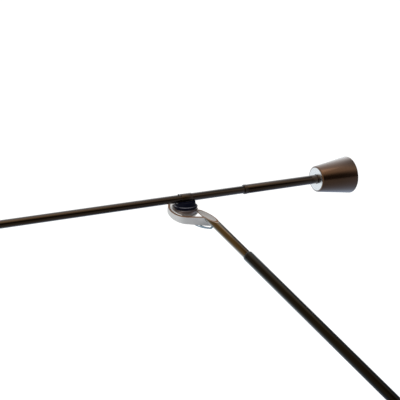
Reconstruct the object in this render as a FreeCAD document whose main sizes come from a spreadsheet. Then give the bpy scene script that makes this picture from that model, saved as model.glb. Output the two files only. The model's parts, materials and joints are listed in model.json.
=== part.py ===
import FreeCAD, Part
import math
import os
import Sketcher
from FreeCAD import Placement, Rotation, Vector

# Counterweight balance desk lamp.  A weighted base carries a turning post, the post carries a
# balanced lower arm, and a ball joint at the end of that arm carries a balanced upper arm with a
# small conical head.  Millimetres, +Z up, origin in the middle of the base's underside.

doc = FreeCAD.newDocument("BalanceLamp")
sheet = doc.addObject("Spreadsheet::Sheet", "Sizes")
sub_parts = []


class Size:
    """A size: its value now, and the expression that keeps it tied to the sheet."""

    def __init__(self, value, text):
        self.value = float(value)
        self.text = text

    def __add__(self, other):
        other = as_size(other)
        return Size(self.value + other.value, "(%s + %s)" % (self.text, other.text))

    def __sub__(self, other):
        other = as_size(other)
        return Size(self.value - other.value, "(%s - %s)" % (self.text, other.text))

    def __mul__(self, other):
        other = as_size(other)
        return Size(self.value * other.value, "(%s * %s)" % (self.text, other.text))

    def __truediv__(self, other):
        other = as_size(other)
        return Size(self.value / other.value, "(%s / %s)" % (self.text, other.text))

    def __neg__(self):
        return Size(-self.value, "(0 - %s)" % self.text)

    def __radd__(self, other):
        return as_size(other) + self

    def __rsub__(self, other):
        return as_size(other) - self

    def __rmul__(self, other):
        return as_size(other) * self


def as_size(thing):
    return thing if isinstance(thing, Size) else Size(thing, repr(float(thing)))


def root(thing):
    return Size(math.sqrt(thing.value), "sqrt(%s)" % thing.text)


# ---- driving dimensions, in millimetres and degrees ------------------------------------------

running_gap = 0.3  # gap between faces that move past each other
pin_gap = 0.05  # radial clearance of a pin or shaft in its hole

pad_height = 2.0  # base: thickness of the rubber pad
pad_radius = 84.0  # base: radius of the rubber pad
plate_height = 7.0  # base: thickness of the steel plate
plate_margin = 0.5  # base: gap from plate to housing wall
skirt_lift = 1.0  # base: housing rim above the pad's top
housing_radius = 90.0  # base: outer radius at the rim
housing_top = 70.0  # base: outer radius at the roof
housing_height = 40.0  # base: height of the housing
skirt_height = 21.0  # base: height of the upright part of the wall
housing_wall = 2.0  # base: wall of the housing
housing_round = 4.0  # base: rounding of the roof's edge
boss_radius = 4.5  # base: radius of the screw bosses
boss_circle = 60.0  # base: radius of the circle of bosses
screw_radius = 2.0  # base: radius of the housing screws
screw_head = 3.8  # base: radius of the screws' heads
screw_sink = 2.2  # base: height of the screws' heads
screw_bite = 9.0  # base: how far the screws go into the bosses
boss_count = 3

bush_bore = 8.05  # post bearing: bore radius
bush_wall = 2.5  # post bearing: wall
bush_flange = 4.5  # post bearing: flange beyond the body
bush_lip = 1.6  # post bearing: flange thickness
bush_length = 20.0  # post bearing: length below the roof's top

core_inner = 19.0  # transformer: inner radius of the winding
core_outer = 42.0  # transformer: outer radius of the winding
core_height = 26.0  # transformer: height of the winding
core_round = 7.0  # transformer: rounding of the winding
clamp_sheet = 1.2  # transformer: thickness of its clamp disc

dial_place = 52.0  # dimmer: distance of its spindle from the post
dial_heading = 180.0  # dimmer: direction of its spindle, degrees
dial_radius = 9.0  # dimmer: radius of the knob's foot
dial_height = 9.0  # dimmer: height of the knob
spindle_radius = 3.0  # dimmer: radius of the spindle
dimmer_radius = 8.0  # dimmer: radius of the body under the roof
dimmer_height = 14.0  # dimmer: height of the body
gland_radius = 5.0  # inlet: radius of the gland's barrel
gland_bore = 3.2  # inlet: bore radius
gland_height = 15.2  # inlet: height above the table
gland_reach = 7.0  # inlet: how far it stands out
gland_inside = 7.0  # inlet: how far it goes in from the wall
gland_lip = 2.0  # inlet: width and thickness of its lip
gland_sag = 0.02  # inlet: clearance between its lip and the curved wall
gland_heading = 60.0  # inlet: direction, degrees

post_radius = 8.0  # post: outer radius
post_wall = 2.0  # post: wall
pivot_height = 236.0  # post: height of the lower arm's pivot
collar_radius = 21.0  # post collar: radius at its foot
collar_height = 26.0  # post collar: height
nut_width = 12.0  # post nut: radius across its corners
nut_height = 5.0  # post nut: height

fork_half = 9.5  # fork: half its length along the arm
fork_width = 28.0  # fork: width across both cheeks
fork_slot = 16.0  # fork: width of the slot
fork_floor = 26.0  # fork: slot floor below the pivot
fork_foot = 42.0  # fork: foot below the pivot
washer_sheet = 0.6  # fork: thickness of the friction washers
washer_radius = 8.0  # fork: radius of the friction washers
bolt_radius = 3.5  # pivot bolt: radius
bolt_head_radius = 7.0  # pivot bolt: head radius
bolt_head_height = 4.0  # pivot bolt: head height

arm_heading = -59.6  # lower arm: direction it falls towards, degrees
arm_pitch = 35.2  # lower arm: fall from the joint to the pivot, degrees
arm_reach = 340.0  # lower arm: ball joint to pivot
hub_radius = 9.0  # lower arm: hub radius
low_radius = 5.5  # lower arm: tube radius
low_wall = 1.5  # lower arm: tube wall
low_bevel = 1.0  # lower arm: bevel at the tube's end
tip_radius = 4.5  # lower arm: radius of the slim top end
tip_length = 80.0  # lower arm: ball joint to the tube's end
tip_spigot = 20.0  # lower arm: spigot inside the tube
tail_radius = 6.5  # lower arm: tail rod radius
tail_reach = 196.0  # lower arm: pivot to the end of the tail rod
low_cone_start = 108.5  # lower weight: pivot to its small end
low_cone_length = 68.0  # lower weight: length
low_cone_small = 24.0  # lower weight: small end radius
low_cone_large = 34.0  # lower weight: large end radius
cone_edge = 0.8  # weights: edge bevel
cone_dish = 3.0  # weights: depth of the dish in the large end
grub_radius = 1.8  # weights: radius of the clamping screw
bead_width = 3.0  # rods: width of the bead collar
bead_proud = 0.35  # rods: height of the bead over the rod behind it

ball_radius = 12.7  # ball joint: radius of the half ball
ball_cut = 3.5  # ball joint: flat top below the ball's centre
ball_side = 5.0  # ball joint: sideways from the lower arm's axis
ball_drop = 5.43  # ball joint: drop from the lower arm's axis
disc_radius = 12.3  # swivel disc: radius
disc_land = 11.3  # swivel disc: outer radius of the raised land
disc_step = 0.5  # swivel disc: height of the land
disc_taper = 0.9  # swivel disc: how much its foot is smaller
arm_rise = 7.0  # upper arm: height of its axis over the ball's centre

facet_angle = 18.8  # hook: angle between its flat top and the rod, degrees
facet_roll = 11.1  # hook: roll of its flat top about the rod, degrees
facet_drop = 3.6  # hook: flat top below the ball's centre
hook_radius = 17.4  # hook: outer radius
hook_strip = 2.0  # hook: thickness of the strip
hook_height = 7.0  # hook: height of the strip below the ball's centre line
hook_flare = 6.3  # hook: slope of its lower edge, degrees
hook_turn = 48.0  # hook: direction of the straight leg, degrees
hook_end = 125.0  # hook: direction of the free end, degrees
leg_length = 26.5  # hook: length of the straight leg
lead_radius = 0.6  # joint lead: radius of a strand
seat_top = 0.5  # ball seat: its top below the strip's top
trim_length = 90.0  # eye hook: length of the blocks that trim it
trim_width = 40.0  # eye hook: width of those blocks
seat_shell = 1.3  # ball seat: thickness of its bowl
seat_bowl = 6.5  # ball seat: top of its bowl below the ball's centre
seat_drain = 4.0  # ball seat: radius of the hole in the bowl
cup_shell = 0.6  # slip cup: thickness
cup_top = 4.6  # slip cup: its top below the ball's centre
stud_radius = 2.2  # swivel bolt: radius
stud_bite = 1.6  # swivel bolt: how far it goes into the disc
nut_room = 5.2  # half ball: radius of the hollow for the nut
nut_level = 8.8  # half ball: roof of the hollow below the ball's centre

up_radius = 4.0  # upper arm: tube radius
up_wall = 0.7  # upper arm: tube wall
up_front = 392.0  # upper arm: ball joint to the head end
rear_start = 70.0  # upper arm: ball joint to the start of the tail sleeve
rear_radius = 4.75  # upper arm: tail sleeve radius
tail_short = 4.5  # upper arm: how far its tail ends inside the weight's large end
core_reach = 124.0  # upper arm: length of the steel core in the tail
saddle_front = 5.6  # saddle: reach towards the head
saddle_back = 6.0  # saddle: reach towards the weight
saddle_wall = 0.5  # saddle: wall round the arm
boss_foot = 10.3  # saddle: radius of its round boss at the foot
boss_head = 10.0  # saddle: radius of the boss at the top
boss_rise = 4.2  # saddle: top of the boss over the ball's centre
stop_radius = 0.8  # upper arm: radius of the stop pin
stop_place = 7.8  # upper arm: ball joint to the stop pin
cone_start = 156.5  # upper weight: ball joint to its small end
cone_length = 42.0  # upper weight: length
cone_small = 14.0  # upper weight: small end radius
cone_large = 20.0  # upper weight: large end radius

ferrule_radius = 5.5  # head: ferrule radius
ferrule_length = 16.0  # head: ferrule length
knuckle_radius = 6.5  # head: knuckle radius
knuckle_reach = 18.0  # head: arm end to the tilt pin
knuckle_slot = 5.0  # head: slot in the knuckle
slot_extra = 2.0  # head: depth of that slot beyond the knuckle's radius
tilt_pin = 1.6  # head: radius of the tilt pin
neck_drop = 15.0  # head: tilt pin to the top of the shade
shade_small = 17.0  # head: shade radius at the top
shade_large = 41.0  # head: shade radius at the mouth
shade_height = 58.0  # head: shade height
shade_wall = 1.2  # head: shade wall
vent_radius = 1.6  # head: radius of the vent holes
vent_circle = 11.5  # head: radius of the ring of vents
vent_count = 10
grip_level = 12.0  # head: height of the grip over the shade's mouth
grip_stem = 1.5  # head: radius of the grip's stem
glass_sheet = 2.0  # head: thickness of the front glass
glass_inset = 3.0  # head: glass above the shade's mouth
rim_band = 2.4  # head: width of the glass ring
reflector_sheet = 0.8  # head: thickness of the reflector
reflector_top = 11.0  # head: reflector radius at the top
holder_radius = 8.0  # head: lamp holder radius
holder_height = 14.0  # head: lamp holder height
bulb_radius = 5.0  # head: capsule radius
bulb_length = 22.0  # head: capsule length
grip_reach = 26.0  # head: length of the grip rod
grip_radius = 2.5  # head: radius of the grip's sleeve

# Every size above goes to the sheet under its own name, and from here on the name is a live size.
driving = [(name, value) for name, value in globals().items() if isinstance(value, float)]
for row, (alias, value) in enumerate(driving, start=1):
    sheet.set("A%d" % row, alias.replace("_", " "))
    sheet.set("B%d" % row, str(value))
    sheet.setAlias("B%d" % row, alias)
    globals()[alias] = Size(value, "Sizes." + alias)
doc.recompute()
rear_reach = cone_start + cone_length - tail_short  # upper arm: ball joint to the tail's end

# ---- frames that the groups of parts hang in ------------------------------------------------


def turn(axis, degrees):
    return Placement(Vector(), Rotation(axis, degrees))


def shift(across, along, rise):
    return Placement(Vector(across, along, rise), Rotation())


along_x = turn(Vector(0, 1, 0), 90.0)     # lays a part that was turned about Z along +X
across_y = turn(Vector(1, 0, 0), -90.0)   # lays a part that was turned about Z along +Y

post_frame = shift(0, 0, pivot_height.value).multiply(turn(Vector(0, 0, 1), arm_heading.value))
low_frame = post_frame.multiply(turn(Vector(0, 1, 0), arm_pitch.value))
hook_frame = (
    low_frame
    .multiply(shift(-arm_reach.value, -ball_side.value, -ball_drop.value))
    .multiply(turn(Vector(1, 0, 0), facet_roll.value))
    .multiply(turn(Vector(0, 1, 0), -facet_angle.value))
)
ball_centre = hook_frame.Base
ball_frame = Placement(ball_centre, Rotation())
up_frame = ball_frame.multiply(shift(0, 0, arm_rise.value))
head_frame = up_frame.multiply(shift(-up_front.value - knuckle_reach.value, 0, 0))


# ---- small tools for bodies and sketches ----------------------------------------------------

def finished(part, place):
    """Give a sub-part its place in the lamp and put it on the list of what is written."""
    part.Placement = place
    sub_parts.append(part)
    return part


def new_body(label):
    body = doc.addObject("PartDesign::Body", label)
    body.Label = label
    return body


def origin_part(body, role):
    for feature in body.Origin.OriginFeatures:
        if feature.Role == role:
            return feature
    raise ValueError(role)


def new_sketch(body, name, plane="XZ_Plane", rise=None):
    sketch = body.newObject("Sketcher::SketchObject", name)
    sketch.AttachmentSupport = [(origin_part(body, plane), "")]
    sketch.MapMode = "FlatFace"
    if rise is not None:
        sketch.AttachmentOffset = shift(0, 0, rise.value)
        sketch.setExpression("AttachmentOffset.Base.z", rise.text)
    return sketch


def pin_point(sketch, geometry, end, across, rise, tag):
    """Hold one end of a sketch line at a live place from the sketch's origin."""
    for kind, size, side in (("DistanceX", across, "x"), ("DistanceY", rise, "y")):
        size = as_size(size)
        index = sketch.addConstraint(
            Sketcher.Constraint(kind, -1, 1, geometry, end, size.value))
        name = "%s_%s" % (tag, side)
        sketch.renameConstraint(index, name)
        sketch.setExpression("Constraints." + name, size.text)


def outline(sketch, corners):
    """Draw a closed outline.  A corner is (x, y), or (x, y, radius) where the edge that leaves
    it is an arc: a positive radius bulges to the right of the way round, a negative to the left."""
    count = len(corners)
    starts = []
    for index, corner in enumerate(corners):
        first = Vector(as_size(corner[0]).value, as_size(corner[1]).value, 0)
        after = corners[(index + 1) % count]
        last = Vector(as_size(after[0]).value, as_size(after[1]).value, 0)
        if len(corner) == 2:
            starts.append((sketch.addGeometry(Part.LineSegment(first, last)), 1, 2))
            continue
        radius = abs(corner[2].value)
        chord = last - first
        side = Vector(chord.y, -chord.x, 0).normalize() * math.copysign(1, corner[2].value)
        half = chord.Length / 2
        middle = (first + last) * 0.5 + side * (radius - math.sqrt(radius ** 2 - half ** 2))
        arc = Part.Arc(first, middle, last).toShape().Curve
        centre = arc.Center
        clockwise = corner[2].value < 0
        begin, finish = (last, first) if clockwise else (first, last)
        angle_a = math.atan2(begin.y - centre.y, begin.x - centre.x)
        angle_b = math.atan2(finish.y - centre.y, finish.x - centre.x)
        circle = Part.Circle(centre, Vector(0, 0, 1), radius)
        geometry = sketch.addGeometry(Part.ArcOfCircle(circle, angle_a, angle_b))
        starts.append((geometry, 2, 1) if clockwise else (geometry, 1, 2))
    for index, corner in enumerate(corners):
        geometry, begin, finish = starts[index]
        other, other_begin, other_finish = starts[(index + 1) % count]
        sketch.addConstraint(
            Sketcher.Constraint("Coincident", geometry, finish, other, other_begin))
        pin_point(sketch, geometry, begin, corner[0], corner[1], "corner%d" % index)
        if len(corner) == 3:
            size = corner[2] if corner[2].value > 0 else -corner[2]
            name = "bend%d" % index
            place = sketch.addConstraint(Sketcher.Constraint("Radius", geometry, size.value))
            sketch.renameConstraint(place, name)
            sketch.setExpression("Constraints." + name, size.text)


def circle(sketch, across, rise, radius, tag="hole"):
    centre = Vector(as_size(across).value, as_size(rise).value, 0)
    geometry = sketch.addGeometry(
        Part.Circle(centre, Vector(0, 0, 1), as_size(radius).value))
    pin_point(sketch, geometry, 3, across, rise, tag)
    index = sketch.addConstraint(
        Sketcher.Constraint("Radius", geometry, as_size(radius).value))
    sketch.renameConstraint(index, tag + "_radius")
    sketch.setExpression("Constraints.%s_radius" % tag, as_size(radius).text)


def revolve(body, name, corners, degrees=360.0, cut=False):
    """Turn a profile, drawn as radius and height, about the body's Z axis."""
    sketch = new_sketch(body, name + "_profile")
    outline(sketch, corners)
    kind = "PartDesign::Groove" if cut else "PartDesign::Revolution"
    feature = body.newObject(kind, name)
    feature.Profile = sketch
    feature.ReferenceAxis = (sketch, ["V_Axis"])
    feature.Angle = degrees
    feature.Midplane = degrees < 360.0
    doc.recompute()
    return feature


def turned(label, corners, place):
    body = new_body(label)
    revolve(body, label + "_turn", corners)
    return finished(body, place)


def pad(body, name, plane, draw, length, rise=None, middle=False, back=False):
    sketch = new_sketch(body, name + "_profile", plane, rise)
    draw(sketch)
    feature = body.newObject("PartDesign::Pad", name)
    feature.Profile = sketch
    feature.Length = as_size(length).value
    feature.setExpression("Length", as_size(length).text)
    feature.Midplane = middle
    feature.Reversed = back
    doc.recompute()
    return feature


def pocket(body, name, plane, draw, length=None, rise=None, back=False):
    """Cut a profile away: right through both ways, or to a depth."""
    sketch = new_sketch(body, name + "_profile", plane, rise)
    draw(sketch)
    before = body.Tip.Shape.Volume
    feature = body.newObject("PartDesign::Pocket", name)
    feature.Profile = sketch
    if length is None:
        feature.Type = "ThroughAll"
        feature.Midplane = True
    else:
        feature.Length = as_size(length).value
        feature.setExpression("Length", as_size(length).text)
        feature.Reversed = back
    doc.recompute()
    if feature.Shape.Volume >= before:
        raise RuntimeError("%s cuts nothing" % name)
    return feature


def pattern(body, name, feature, count):
    result = body.newObject("PartDesign::PolarPattern", name)
    result.Originals = [feature]
    result.Axis = (origin_part(body, "Z_Axis"), [""])
    result.Angle = 360.0
    result.Occurrences = count
    body.Tip = result
    doc.recompute()
    return result


def ring_edges(shape, radius, height):
    """Names of the circular edges with this radius at this height."""
    names = []
    for index, edge in enumerate(shape.Edges):
        curve = edge.Curve
        if not isinstance(curve, Part.Circle):
            continue
        if abs(curve.Radius - radius) < 0.01 and abs(curve.Center.z - height) < 0.01:
            names.append("Edge%d" % (index + 1))
    return names


def dress(body, name, kind, edges, size):
    carrier = body.Tip
    feature = body.newObject("PartDesign::" + kind, name)
    feature.Base = (carrier, edges)
    prop = "Radius" if kind == "Fillet" else "Size"
    setattr(feature, prop, size.value)
    feature.setExpression(prop, size.text)
    body.Tip = feature
    doc.recompute()
    return feature


def drill(body, name, radius, length, place):
    """Bore a round hole along the placement's Z."""
    before = body.Tip.Shape.Volume
    hole = body.newObject("PartDesign::SubtractiveCylinder", name)
    hole.Radius = as_size(radius).value
    hole.setExpression("Radius", as_size(radius).text)
    hole.Height = as_size(length).value
    hole.setExpression("Height", as_size(length).text)
    hole.Placement = place
    doc.recompute()
    if hole.Shape.Volume >= before:
        raise RuntimeError("%s cuts nothing" % name)
    return hole


def feature_of(label, shape, place):
    part = doc.addObject("Part::Feature", label)
    part.Label = label
    part.Shape = shape
    return finished(part, place)


world = Placement()
pad_top = pad_height
plate_top = pad_top + plate_height
rim_height = pad_top + skirt_lift
roof_top = rim_height + housing_height
roof_under = roof_top - housing_wall

# ---- base ------------------------------------------------------------------------------------


def base_pad():
    turned("base_pad", [(0, 0), (pad_radius, 0), (pad_radius, pad_top), (0, pad_top)], world)


plate_radius = housing_radius - housing_wall - plate_margin


def base_plate():
    body = new_body("base_plate")
    revolve(body, "plate_disc", [(0, pad_top), (plate_radius, pad_top),
                                 (plate_radius, plate_top), (0, plate_top)])
    hole = pocket(body, "plate_hole", "XY_Plane",
                  lambda sketch: circle(sketch, boss_circle, 0, screw_radius + pin_gap))
    pattern(body, "plate_holes", hole, boss_count)
    sink = pocket(body, "plate_sink", "XY_Plane",
                  lambda sketch: circle(sketch, boss_circle, 0, screw_head + pin_gap),
                  screw_sink, rise=pad_top, back=True)
    pattern(body, "plate_sinks", sink, boss_count)
    finished(body, world)


def gland_place(radius):
    """A place in the inlet's line, this far out from the post's axis, with Z outwards."""
    side = math.radians(gland_heading.value)
    out = Vector(math.cos(side), math.sin(side), 0)
    foot = out * radius.value
    return Placement(Vector(foot.x, foot.y, gland_height.value), Rotation(Vector(0, 0, 1), out))


def base_housing():
    body = new_body("base_housing")
    slope = (housing_radius - housing_top) / (housing_height - skirt_height)
    shoulder = rim_height + skirt_height
    inner_foot = housing_radius - housing_wall
    inner_shoulder = shoulder - housing_wall / 2
    inner_roof = inner_foot - slope * (roof_under - inner_shoulder)
    bore = bush_bore + bush_wall
    shell = revolve(body, "housing_shell", [
        (bore, roof_under), (inner_roof, roof_under), (inner_foot, inner_shoulder),
        (inner_foot, rim_height), (housing_radius, rim_height), (housing_radius, shoulder),
        (housing_top, roof_top), (bore, roof_top)])
    edges = ring_edges(shell.Shape, housing_top.value, roof_top.value)
    edges += ring_edges(shell.Shape, housing_radius.value, shoulder.value)
    dress(body, "housing_edge", "Fillet", edges, housing_round)

    def boss(sketch):
        circle(sketch, boss_circle, 0, boss_radius, "boss")
        circle(sketch, boss_circle, 0, screw_radius, "bore")

    post = pad(body, "screw_boss", "XY_Plane", boss, roof_under - plate_top, rise=plate_top)
    pattern(body, "screw_bosses", post, boss_count)
    pocket(body, "dial_bore", "XY_Plane",
           lambda sketch: circle(sketch, dial_x, dial_y, spindle_radius + running_gap),
           housing_wall + running_gap * 2, rise=roof_top + running_gap)
    drill(body, "gland_bore_cut", gland_radius, gland_inside + housing_wall,
          gland_place(housing_radius - gland_inside))
    finished(body, world)


dial_angle = math.radians(dial_heading.value)
dial_x = dial_place * math.cos(dial_angle)
dial_y = dial_place * math.sin(dial_angle)


def polar_places(radius, count, start=0.0):
    for index in range(count):
        angle = math.radians(start + 360.0 * index / count)
        yield Vector(radius * math.cos(angle), radius * math.sin(angle), 0)


def base_screws():
    solids = []
    for spot in polar_places(boss_circle.value, boss_count):
        foot = Vector(spot.x, spot.y, pad_top.value)
        head = Part.makeCylinder(screw_head.value, screw_sink.value, foot)
        shank = Part.makeCylinder(screw_radius.value, plate_height.value + screw_bite.value, foot)
        solids.append(head.fuse(shank).removeSplitter())
    feature_of("base_screws", Part.makeCompound(solids), world)


def transformer():
    body = new_body("transformer")
    foot = plate_top
    top = plate_top + core_height
    ring = revolve(body, "winding", [(core_inner, foot), (core_outer, foot),
                                     (core_outer, top), (core_inner, top)])
    edges = []
    for radius in (core_inner, core_outer):
        for height in (foot, top):
            edges += ring_edges(ring.Shape, radius.value, height.value)
    dress(body, "winding_round", "Fillet", edges, core_round)
    finished(body, world)
    low = top
    turned("transformer_clamp", [
        (core_inner - 4, low), (core_outer - 8, low), (core_outer - 8, low + clamp_sheet),
        (core_inner - 4, low + clamp_sheet)], world)


def bearing_bush():
    bore = bush_bore
    body_radius = bush_bore + bush_wall
    lip_radius = body_radius + bush_flange
    turned("bearing_bush", [
        (bore, roof_top - bush_length), (body_radius, roof_top - bush_length),
        (body_radius, roof_top), (lip_radius, roof_top), (lip_radius, roof_top + bush_lip),
        (bore, roof_top + bush_lip)], world)


def cable_gland():
    seat = gland_inside
    end = seat + gland_reach
    turned("cable_gland", [
        (gland_bore, 0), (gland_radius, 0), (gland_radius, seat + gland_sag),
        (gland_radius + gland_lip, seat + gland_sag), (gland_radius + gland_lip, seat + gland_lip),
        (gland_radius - 0.6, end), (gland_bore, end)], gland_place(housing_radius - gland_inside))


def dimmer():
    spot = shift(dial_x.value, dial_y.value, 0)
    turned("dimmer_body", [
        (spindle_radius + running_gap, roof_under - dimmer_height), (dimmer_radius, roof_under - dimmer_height),
        (dimmer_radius, roof_under), (spindle_radius + running_gap, roof_under)], spot)
    foot = roof_top + running_gap
    body = new_body("dimmer_knob")
    revolve(body, "knob_turn", [
        (0, roof_under - dimmer_height), (spindle_radius, roof_under - dimmer_height), (spindle_radius, foot),
        (dial_radius, foot), (dial_radius - 1.6, foot + dial_height), (0, foot + dial_height)])

    def flute(sketch):
        circle(sketch, dial_radius + 0.6, 0, 1.3)

    cut = pocket(body, "knob_flute", "XY_Plane", flute, dial_height + 1, rise=foot + dial_height + 0.5)
    pattern(body, "knob_flutes", cut, 12)
    finished(body, spot)


# ---- post ------------------------------------------------------------------------------------

bush_top = roof_top + bush_lip
collar_foot = bush_top + running_gap
post_foot = roof_top - bush_length - nut_height - 3
fork_base = pivot_height - fork_foot


def post():
    inner = post_radius - post_wall
    turned("post_tube", [(inner, post_foot), (post_radius, post_foot),
                         (post_radius, fork_base + 12), (inner, fork_base + 12)], world)
    collar_top = collar_foot + collar_height
    turned("post_collar", [
        (post_radius, collar_foot), (collar_radius, collar_foot), (collar_radius, collar_foot + 2),
        (post_radius + 2.5, collar_top - 1), (post_radius + 1.5, collar_top),
        (post_radius, collar_top)], world)
    body = new_body("post_nut")
    top = roof_top - bush_length - running_gap

    def hexagon(sketch):
        corners = []
        for index in range(6):
            angle = math.radians(60 * index)
            corners.append((nut_width * math.cos(angle), nut_width * math.sin(angle)))
        outline(sketch, corners)

    pad(body, "nut_block", "XY_Plane", hexagon, nut_height, rise=top - nut_height)
    pocket(body, "nut_bore", "XY_Plane", lambda sketch: circle(sketch, 0, 0, post_radius))
    finished(body, world)


def fork():
    body = new_body("post_fork")

    def cheek(sketch):
        outline(sketch, [
            (fork_half, 0, fork_half * 1.0001), (-fork_half, 0),
            (-fork_half, -fork_foot), (fork_half, -fork_foot)])

    pad(body, "fork_block", "XZ_Plane", cheek, fork_width, middle=True)

    def slot(sketch):
        half = fork_slot / 2
        top = fork_half + 2
        outline(sketch, [(-half, -fork_floor), (half, -fork_floor), (half, top), (-half, top)])

    pocket(body, "fork_slot_cut", "YZ_Plane", slot)
    pocket(body, "pivot_bore", "XZ_Plane", lambda sketch: circle(sketch, 0, 0, bolt_radius + pin_gap))
    pocket(body, "tube_socket", "XY_Plane", lambda sketch: circle(sketch, 0, 0, post_radius),
           12, rise=-fork_foot, back=True)
    finished(body, post_frame)


def fork_fittings():
    half = fork_slot / 2
    inner = bolt_radius + pin_gap
    solids = []
    for side in (-1, 1):
        near = half.value - washer_sheet.value if side > 0 else -half.value
        ring = Part.makeCylinder(washer_radius.value, washer_sheet.value, Vector(0, near, 0), Vector(0, 1, 0))
        ring = ring.cut(Part.makeCylinder(inner.value, washer_sheet.value, Vector(0, near, 0), Vector(0, 1, 0)))
        solids.append(ring)
    feature_of("friction_washers", Part.makeCompound(solids), post_frame)
    outer = fork_width / 2
    turned("pivot_bolt", [
        (0, -(outer + bolt_head_height)), (bolt_head_radius - 1, -(outer + bolt_head_height)),
        (bolt_head_radius, -(outer + bolt_head_height - 1)), (bolt_head_radius, -outer),
        (bolt_radius, -outer), (bolt_radius, outer + 3), (0, outer + 3)], post_frame.multiply(across_y))
    turned("pivot_cap", [
        (bolt_radius, outer), (bolt_head_radius, outer), (bolt_head_radius, outer + 4),
        (bolt_head_radius - 2, outer + 6), (0, outer + 6), (0, outer + 3), (bolt_radius, outer + 3)],
        post_frame.multiply(across_y))


# ---- lower arm --------------------------------------------------------------------------------

low_axis = low_frame.multiply(along_x)
hub_width = fork_slot - washer_sheet * 2 - running_gap * 2
socket_floor = bolt_radius + 1.8


def lower_hub():
    body = new_body("lower_hub")
    pad(body, "hub_drum", "XZ_Plane", lambda sketch: circle(sketch, 0, 0, hub_radius), hub_width, middle=True)
    pocket(body, "hub_bore", "XZ_Plane",
           lambda sketch: circle(sketch, 0, 0, bolt_radius + running_gap / 3))
    pocket(body, "front_socket", "YZ_Plane", lambda sketch: circle(sketch, 0, 0, low_radius),
           hub_radius, rise=-socket_floor)
    pocket(body, "tail_socket", "YZ_Plane", lambda sketch: circle(sketch, 0, 0, tail_radius),
           hub_radius, rise=socket_floor, back=True)
    finished(body, low_frame)


def lower_tube():
    far = -(arm_reach - tip_length)
    inner = low_radius - low_wall
    turned("lower_tube", [
        (inner, far), (low_radius - low_bevel, far), (low_radius, far + low_bevel * 2),
        (low_radius, -socket_floor), (inner, -socket_floor)], low_axis)


def bead(label, place, radius, bore, start):
    """A collar of two soft beads with a groove between them, in front of a thicker rod."""
    proud = radius + bead_proud
    third = bead_width / 3
    turned(label, [
        (bore, start), (proud - 0.3, start), (proud, start + third * 0.5), (proud, start + third),
        (radius - 0.3, start + third * 1.5), (proud, start + third * 2), (proud, start + third * 2.6),
        (radius, start + bead_width), (bore, start + bead_width)], place)


def weight(label, place, bore, start, length, small, large):
    """A turned steel cone with bevelled edges, a dished large end and a hole for its screw."""
    end = start + length
    edge = cone_edge
    dish = large - 5
    body = new_body(label)
    revolve(body, label + "_turn", [
        (bore, start), (small - edge, start), (small, start + edge), (large, end - edge),
        (large - edge, end), (dish, end), (dish - 1, end - cone_dish), (bore, end - cone_dish)])
    level = start + length * 0.55
    drill(body, label + "_screw_hole", grub_radius, large,
          Placement(Vector(0, 0, level.value), Rotation(Vector(0, 1, 0), 90)))
    finished(body, place)
    turned(label + "_screw", [
        (0, bore), (grub_radius, bore), (grub_radius, small - 1), (grub_radius - 0.8, small - 1),
        (grub_radius - 0.8, small - 2.5), (0, small - 2.5)],
        place.multiply(shift(0, 0, level.value)).multiply(turn(Vector(0, 1, 0), 90)))


def lower_tail():
    bead("lower_bead", low_axis, tail_radius, low_radius, hub_radius + 1)
    turned("tail_rod", [
        (0, socket_floor), (tail_radius - 1.0, socket_floor), (tail_radius - 1.0, hub_radius + 1),
        (tail_radius - 1.0, hub_radius + 1 + bead_width), (tail_radius, hub_radius + 1 + bead_width),
        (tail_radius, tail_reach - 1), (tail_radius - 1, tail_reach), (0, tail_reach)], low_axis)
    weight("lower_weight", low_axis, tail_radius + pin_gap, low_cone_start, low_cone_length,
           low_cone_small, low_cone_large)


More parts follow.
